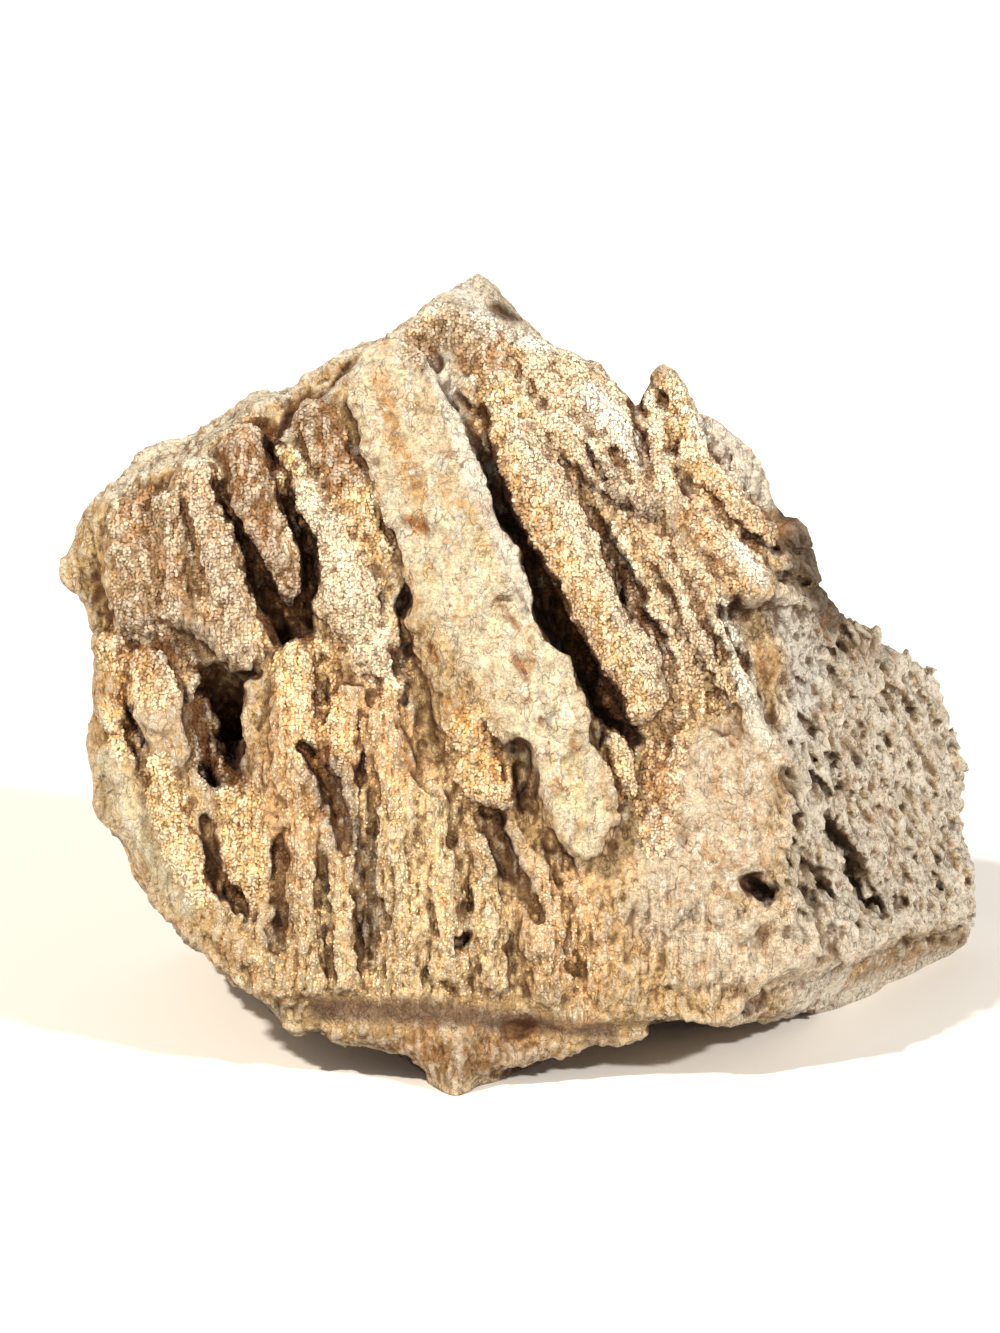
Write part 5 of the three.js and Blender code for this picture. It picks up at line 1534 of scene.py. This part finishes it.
# Painted shade in the gaps between beads of 1.25 mm, most on the rind and a few elsewhere.
bead = add(tree, VORONOI, {"Vector": leaning(tree, (1.25,) * 3), "Scale": 1.0}, "Distance")
gap = add(tree, RANGE, {0: bead, 1: 0.35, 2: 0.9}, **EASED)
dark = add(tree, MATH, {0: add(tree, MATH, {0: grain_share, 1: 0.5}, **TIMES), 1: 0.15}, **PLUS)
gap = add(tree, MATH, {0: gap, 1: dark}, **TIMES)
shade = add(tree, MIX, {0: gap, 6: shade, 7: colour("#7a5534")}, **TINTED)

# Streaks along the fibres, 15 mm long, then a fine speckle and grit of about 2 mm everywhere.
fibre = cloudy(tree, (0.9, 15, 2.2), 3, 0.6, 0.3)
streak = add(tree, RANGE, {0: fibre, 1: 0.3, 2: 0.7, 3: 0.8, 4: 1.18}, **EASED)
streaked = add(tree, MIX, {0: 1.0, 6: shade, 7: streak}, blend_type="MULTIPLY", **TINTED)
shade = add(tree, MIX, {0: fibre_share, 6: shade, 7: streaked}, **TINTED)
for pattern, full, darker, lighter in ((fine, 0.7, 0.82, 1.2), (grit, 0.62, 0.7, 1.24)):
    speckle = add(tree, RANGE, {0: pattern, 1: 0.3, 2: full, 3: darker, 4: lighter}, **EASED)
    shade = add(tree, MIX, {0: 1.0, 6: shade, 7: speckle}, blend_type="MULTIPLY", **TINTED)
print("colour:", len(tree.nodes), "nodes")

# %% Silicified wood: bump and gloss
BUMP = 0.0009   # metres that a height of 1 stands out

chip_places = leaning(tree, (4.5, 6.5, 4.5))
chips = add(tree, VORONOI, {"Vector": chip_places, "Scale": 1.0}, "Distance", distance="CHEBYCHEV")
on_breaks = add(tree, ATTRIBUTE, out="Fac", attribute_name="broken")
heights = [
    (add(tree, MATH, {0: fibre, 1: fibre_share}, **TIMES), 1.2),
    (cloudy(tree, 1.5, 6, 0.75), 2.2),
    (grit, 2.6),
    (line, -0.8),
    (add(tree, MATH, {0: chips, 1: on_breaks}, **TIMES), 2.4),
]
height = add(tree, MATH, {0: add(tree, MATH, {0: 1.0, 1: bead}, **MINUS), 1: grain_share}, **TIMES)
for pattern, most in heights:
    raised = add(tree, MATH, {0: pattern, 1: most}, **TIMES)
    height = add(tree, MATH, {0: height, 1: raised}, **PLUS)
dullness = add(tree, RANGE, {0: fine, 1: 0.2, 2: 0.8, 3: 0.72, 4: 0.95}, **EASED)
skin_shader = add(tree, "ShaderNodeBsdfPrincipled", {
    "Base Color": shade, "Roughness": dullness, "Specular IOR Level": 0.3,
    "Normal": add(tree, "ShaderNodeBump", {"Strength": 1.0, "Distance": BUMP, "Height": height})})
add(tree, "ShaderNodeOutputMaterial", {"Surface": skin_shader}, None)
body.data.materials.clear()
body.data.materials.append(wood)
print("with bump:", len(tree.nodes), "nodes")

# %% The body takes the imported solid's place
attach(body, "root")
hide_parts(WOOD)
print(body.name, "stands for", WOOD)

# %% [markdown]
# ## Grains of the rind
#
# The ribs are covered with grains of silica a good millimetre across, and the belly more thinly.
# They are far too many to place, so a node tree scatters them where the rind is, no two nearer
# than a set gap. Each is a flattened ball of 20 faces, turned and sized at random, that lies on
# the skin. It has the tone of the stone under it and a tint of its own. The rind comes in five
# strips from left to right, so that no piece gets too many faces.

# %% Silica grains
# Small rounded grains of quartz, grown on the stone: duller still, and no two of one shade.
rind_stone = blank("silica beads", "rough grains, each a little lighter or darker than the next")
tree = rind_stone.node_tree
tint = add(tree, ATTRIBUTE, out="Fac", attribute_name="tint")
tint = add(tree, RANGE, {0: tint, 1: 0, 2: 1, 3: 0.78, 4: 1.1}, **EASED)
shade = add(tree, MIX, {0: 1.0, 6: weathered_and_shaded(tree)[0], 7: tint}, blend_type="MULTIPLY", **TINTED)
grit = cloudy(tree, 0.5, 2, 0.7)

# The shading leans 62 % towards the skin under the grain, so that single faces don't glint.
own_normal = add(tree, "ShaderNodeNewGeometry", out="Normal")
skin_normal = add(tree, ATTRIBUTE, out="Vector", attribute_name="rind_normal")
between_them = add(tree, MIX, {0: 0.62, 4: own_normal, 5: skin_normal}, 1, data_type="VECTOR")
eased_normal = add(tree, "ShaderNodeVectorMath", {0: between_them}, operation="NORMALIZE")
bump = add(tree, "ShaderNodeBump", {
    "Strength": 0.5, "Distance": 0.0002, "Height": grit, "Normal": eased_normal})
dullness = add(tree, RANGE, {0: grit, 1: 0.2, 2: 0.8, 3: 0.8, 4: 0.98}, **EASED)
grain_shader = add(tree, "ShaderNodeBsdfPrincipled", {
    "Base Color": shade, "Roughness": dullness, "Normal": bump, "Specular IOR Level": 0.15})
add(tree, "ShaderNodeOutputMaterial", {"Surface": grain_shader}, None)
print("grains:", len(tree.nodes), "nodes")

# %% Node tree that scatters the grains
GRAIN_LEAST, GRAIN_MOST = (0.6, 0.6, 0.35), (1.5, 1.5, 0.8)   # half sizes, in radii
MOST_PER_AREA = 4e6   # grains to a square metre, before the gap thins them
PORTS = {
    "Stone": "Object", "Gap": "Float", "Radius": "Float", "From": "Float", "To": "Float", "Seed": "Int",
}


def grain_tree(material):
    """Scatters grains on a stone between two places across it; gives the tree and its ports."""
    tree = bpy.data.node_groups.new("scattered grains", "GeometryNodeTree")
    tree.interface.new_socket("Geometry", in_out="OUTPUT", socket_type="NodeSocketGeometry")
    ports = {}
    for label, kind in PORTS.items():
        port = tree.interface.new_socket(label, in_out="INPUT", socket_type="NodeSocket" + kind)
        ports[label] = port.identifier
    given = add(tree, "NodeGroupInput", out=None).outputs

    # Where: on the rind, inside the strip.
    stone = add(tree, "GeometryNodeObjectInfo", {"Object": given["Stone"]}, "Geometry")
    across = add(tree, "ShaderNodeSeparateXYZ", {0: add(tree, "GeometryNodeInputPosition")})
    after = add(tree, "FunctionNodeCompare", {0: across, 1: given["From"]}, operation="GREATER_EQUAL")
    before = add(tree, "FunctionNodeCompare", {0: across, 1: given["To"]}, operation="LESS_THAN")
    strip = add(tree, "FunctionNodeBooleanMath", {0: after, 1: before})
    rind = add(tree, "GeometryNodeInputNamedAttribute", {"Name": "grainy"})
    spots = add(tree, "GeometryNodeDistributePointsOnFaces", {
        "Mesh": stone, "Selection": strip, "Distance Min": given["Gap"], "Density Max": MOST_PER_AREA,
        "Density Factor": rind, "Seed": given["Seed"]}, None, distribute_method="POISSON").outputs

    # Each grain's own size and turn; where the rind is thin they are smaller.
    ball = add(tree, "GeometryNodeMeshIcoSphere", {"Radius": 1.0, "Subdivisions": 1})
    size = add(tree, "FunctionNodeRandomValue", {
        0: GRAIN_LEAST, 1: GRAIN_MOST, "Seed": given["Seed"]}, data_type="FLOAT_VECTOR")
    share = add(tree, RANGE, {0: rind, 1: 0.2, 2: 1.0, 3: 0.55, 4: 1.0})
    radius = add(tree, MATH, {0: share, 1: given["Radius"]}, **TIMES)
    scale = add(tree, "ShaderNodeVectorMath", {0: size, 3: radius}, operation="SCALE")
    spin = add(tree, "FunctionNodeRandomValue", {2: 0.0, 3: 6.28}, 1)
    spin = add(tree, "ShaderNodeCombineXYZ", {2: spin})
    turn = add(tree, "FunctionNodeRotateRotation", {
        "Rotation": spots["Rotation"], "Rotate By": spin}, rotation_space="LOCAL")
    sown = add(tree, "GeometryNodeInstanceOnPoints", {
        "Points": spots["Points"], "Instance": ball, "Rotation": turn, "Scale": scale})

    # What each grain keeps: the way the skin faces under it, and a number for its tint.
    sown = add(tree, "GeometryNodeStoreNamedAttribute", {
        "Geometry": sown, "Name": "rind_normal", "Value": spots["Normal"]},
        domain="INSTANCE", data_type="FLOAT_VECTOR")
    tint = add(tree, "FunctionNodeRandomValue", {"Seed": 7}, 1)
    sown = add(tree, "GeometryNodeStoreNamedAttribute", {
        "Geometry": sown, "Name": "tint", "Value": tint}, domain="INSTANCE")
    whole = add(tree, "GeometryNodeRealizeInstances", {0: sown})
    dressed = add(tree, "GeometryNodeSetMaterial", {"Geometry": whole, "Material": material})
    add(tree, "NodeGroupOutput", {0: dressed}, None)
    return tree, ports


group, ports = grain_tree(rind_stone)
print("scatter:", len(group.nodes), "nodes, inputs", *ports)

# %% Grains on the ribs and the belly
GRAIN_RADIUS = 0.00069   # metres
GRAIN_GAP = 0.00097      # least distance between two grains
COARSER = 1
STRIPS = [   # side, and from where to where across the stone, in metres
    ("far_left", -0.2, -0.095), ("left", -0.095, -0.06), ("middle", -0.06, -0.01),
    ("right", -0.01, 0.032), ("far_right", 0.032, 0.2),
]
for number, (side, start, end) in enumerate(STRIPS):
    grains = bpy.data.objects.new(f"rind_grains_{side}", bpy.data.meshes.new("grains"))
    bpy.context.scene.collection.objects.link(grains)
    spread = grains.modifiers.new("scatter", "NODES")
    spread.node_group = group
    given = {
        "Stone": body, "Gap": GRAIN_GAP * COARSER, "Radius": GRAIN_RADIUS * COARSER,
        "From": start, "To": end, "Seed": 11 + number,
    }
    for label, value in given.items():
        spread[ports[label]] = value
    depsgraph = bpy.context.evaluated_depsgraph_get()
    made = bpy.data.meshes.new_from_object(grains.evaluated_get(depsgraph))
    grains.modifiers.clear()
    grains.data = made
    print(grains.name, len(made.polygons), "faces")
    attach(grains, "root")

# %% [markdown]
# ## Room and light
#
# The lump stands on a wide sheet of white paper. Two suns light it, a warm one from the left and
# a paler one from the right, and a pale room fills the shadows. The camera looks square on to
# the leaning face through a long lens, so that nothing is drawn out by nearness.

# %% Floor
FLOOR = 8.0   # metres from the middle to each side
floor_places = [(x * FLOOR, y * FLOOR, 0) for x, y in ((-1, -1), (1, -1), (1, 1), (-1, 1))]
floor_mesh = mesh_of("floor", floor_places, [(0, 1, 2, 3)])
floor = bpy.data.objects.new("floor", floor_mesh)
bpy.context.scene.collection.objects.link(floor)
paper = blank("white backdrop paper", "a plain pale ground")
sheet = add(paper.node_tree, "ShaderNodeBsdfPrincipled", {
    "Base Color": colour("#f4f2ee"), "Roughness": 0.9})
add(paper.node_tree, "ShaderNodeOutputMaterial", {"Surface": sheet}, None)
floor_mesh.materials.append(paper)
print("floor:", 2 * FLOOR, "m wide")

# %% Lamps and room
MIDDLE = Vector((0, 0, 0.12))   # about the middle of the stone, in metres


def lamp(name, azimuth, height, energy, code, wide):
    """A sun seen from the stone; azimuth 0 is in front and 90 to the right, in degrees."""
    data = bpy.data.lights.new(name, "SUN")
    data.energy = energy
    data.color = linear(code)
    data.angle = math.radians(wide)
    made = bpy.data.objects.new(name, data)
    a, e = math.radians(azimuth), math.radians(height)
    out = Vector((math.sin(a) * math.cos(e), -math.cos(a) * math.cos(e), math.sin(e)))
    made.location = MIDDLE + out * 3   # a sun shines the same from anywhere on this line
    made.rotation_euler = out.to_track_quat("Z", "Y").to_euler()
    bpy.context.scene.collection.objects.link(made)


lamp("warm key", -55, 50, 3.45, "#fff3e2", 3)
lamp("cool key", 50, 36, 2.8, "#fff8ee", 5)
world = bpy.data.worlds.new("white room")
world.use_nodes = True
room = world.node_tree.nodes["Background"].inputs
room["Color"].default_value = colour("#f6f4f2")
room["Strength"].default_value = 0.44
scene = bpy.context.scene
scene.world = world
scene.view_settings.view_transform = "Standard"
print("two suns and a room of strength", round(room["Strength"].default_value, 2))

# %% Camera
LENS, FILM = 400.0, 36     # mm
FRAME_HEIGHT = 444.3       # mm of the leaning face that the view is high
AIM = (-6.67, 140.2, 0.0)  # u, v, w in the middle of the view

camera_data = bpy.data.cameras.new("camera")
camera_data.lens = LENS
camera_data.clip_end = 50
camera = bpy.data.objects.new("camera", camera_data)
scene.collection.objects.link(camera)
scene.camera = camera
aim = Vector(settled(stand(np.array([AIM])))[0])
out = Vector((0, -math.cos(LEAN), math.sin(LEAN)))
camera.location = aim + out * (FRAME_HEIGHT / 1000 * LENS / FILM)
camera.rotation_euler = out.to_track_quat("Z", "Y").to_euler()
print("camera:", round((camera.location - aim).length, 2), "m away")
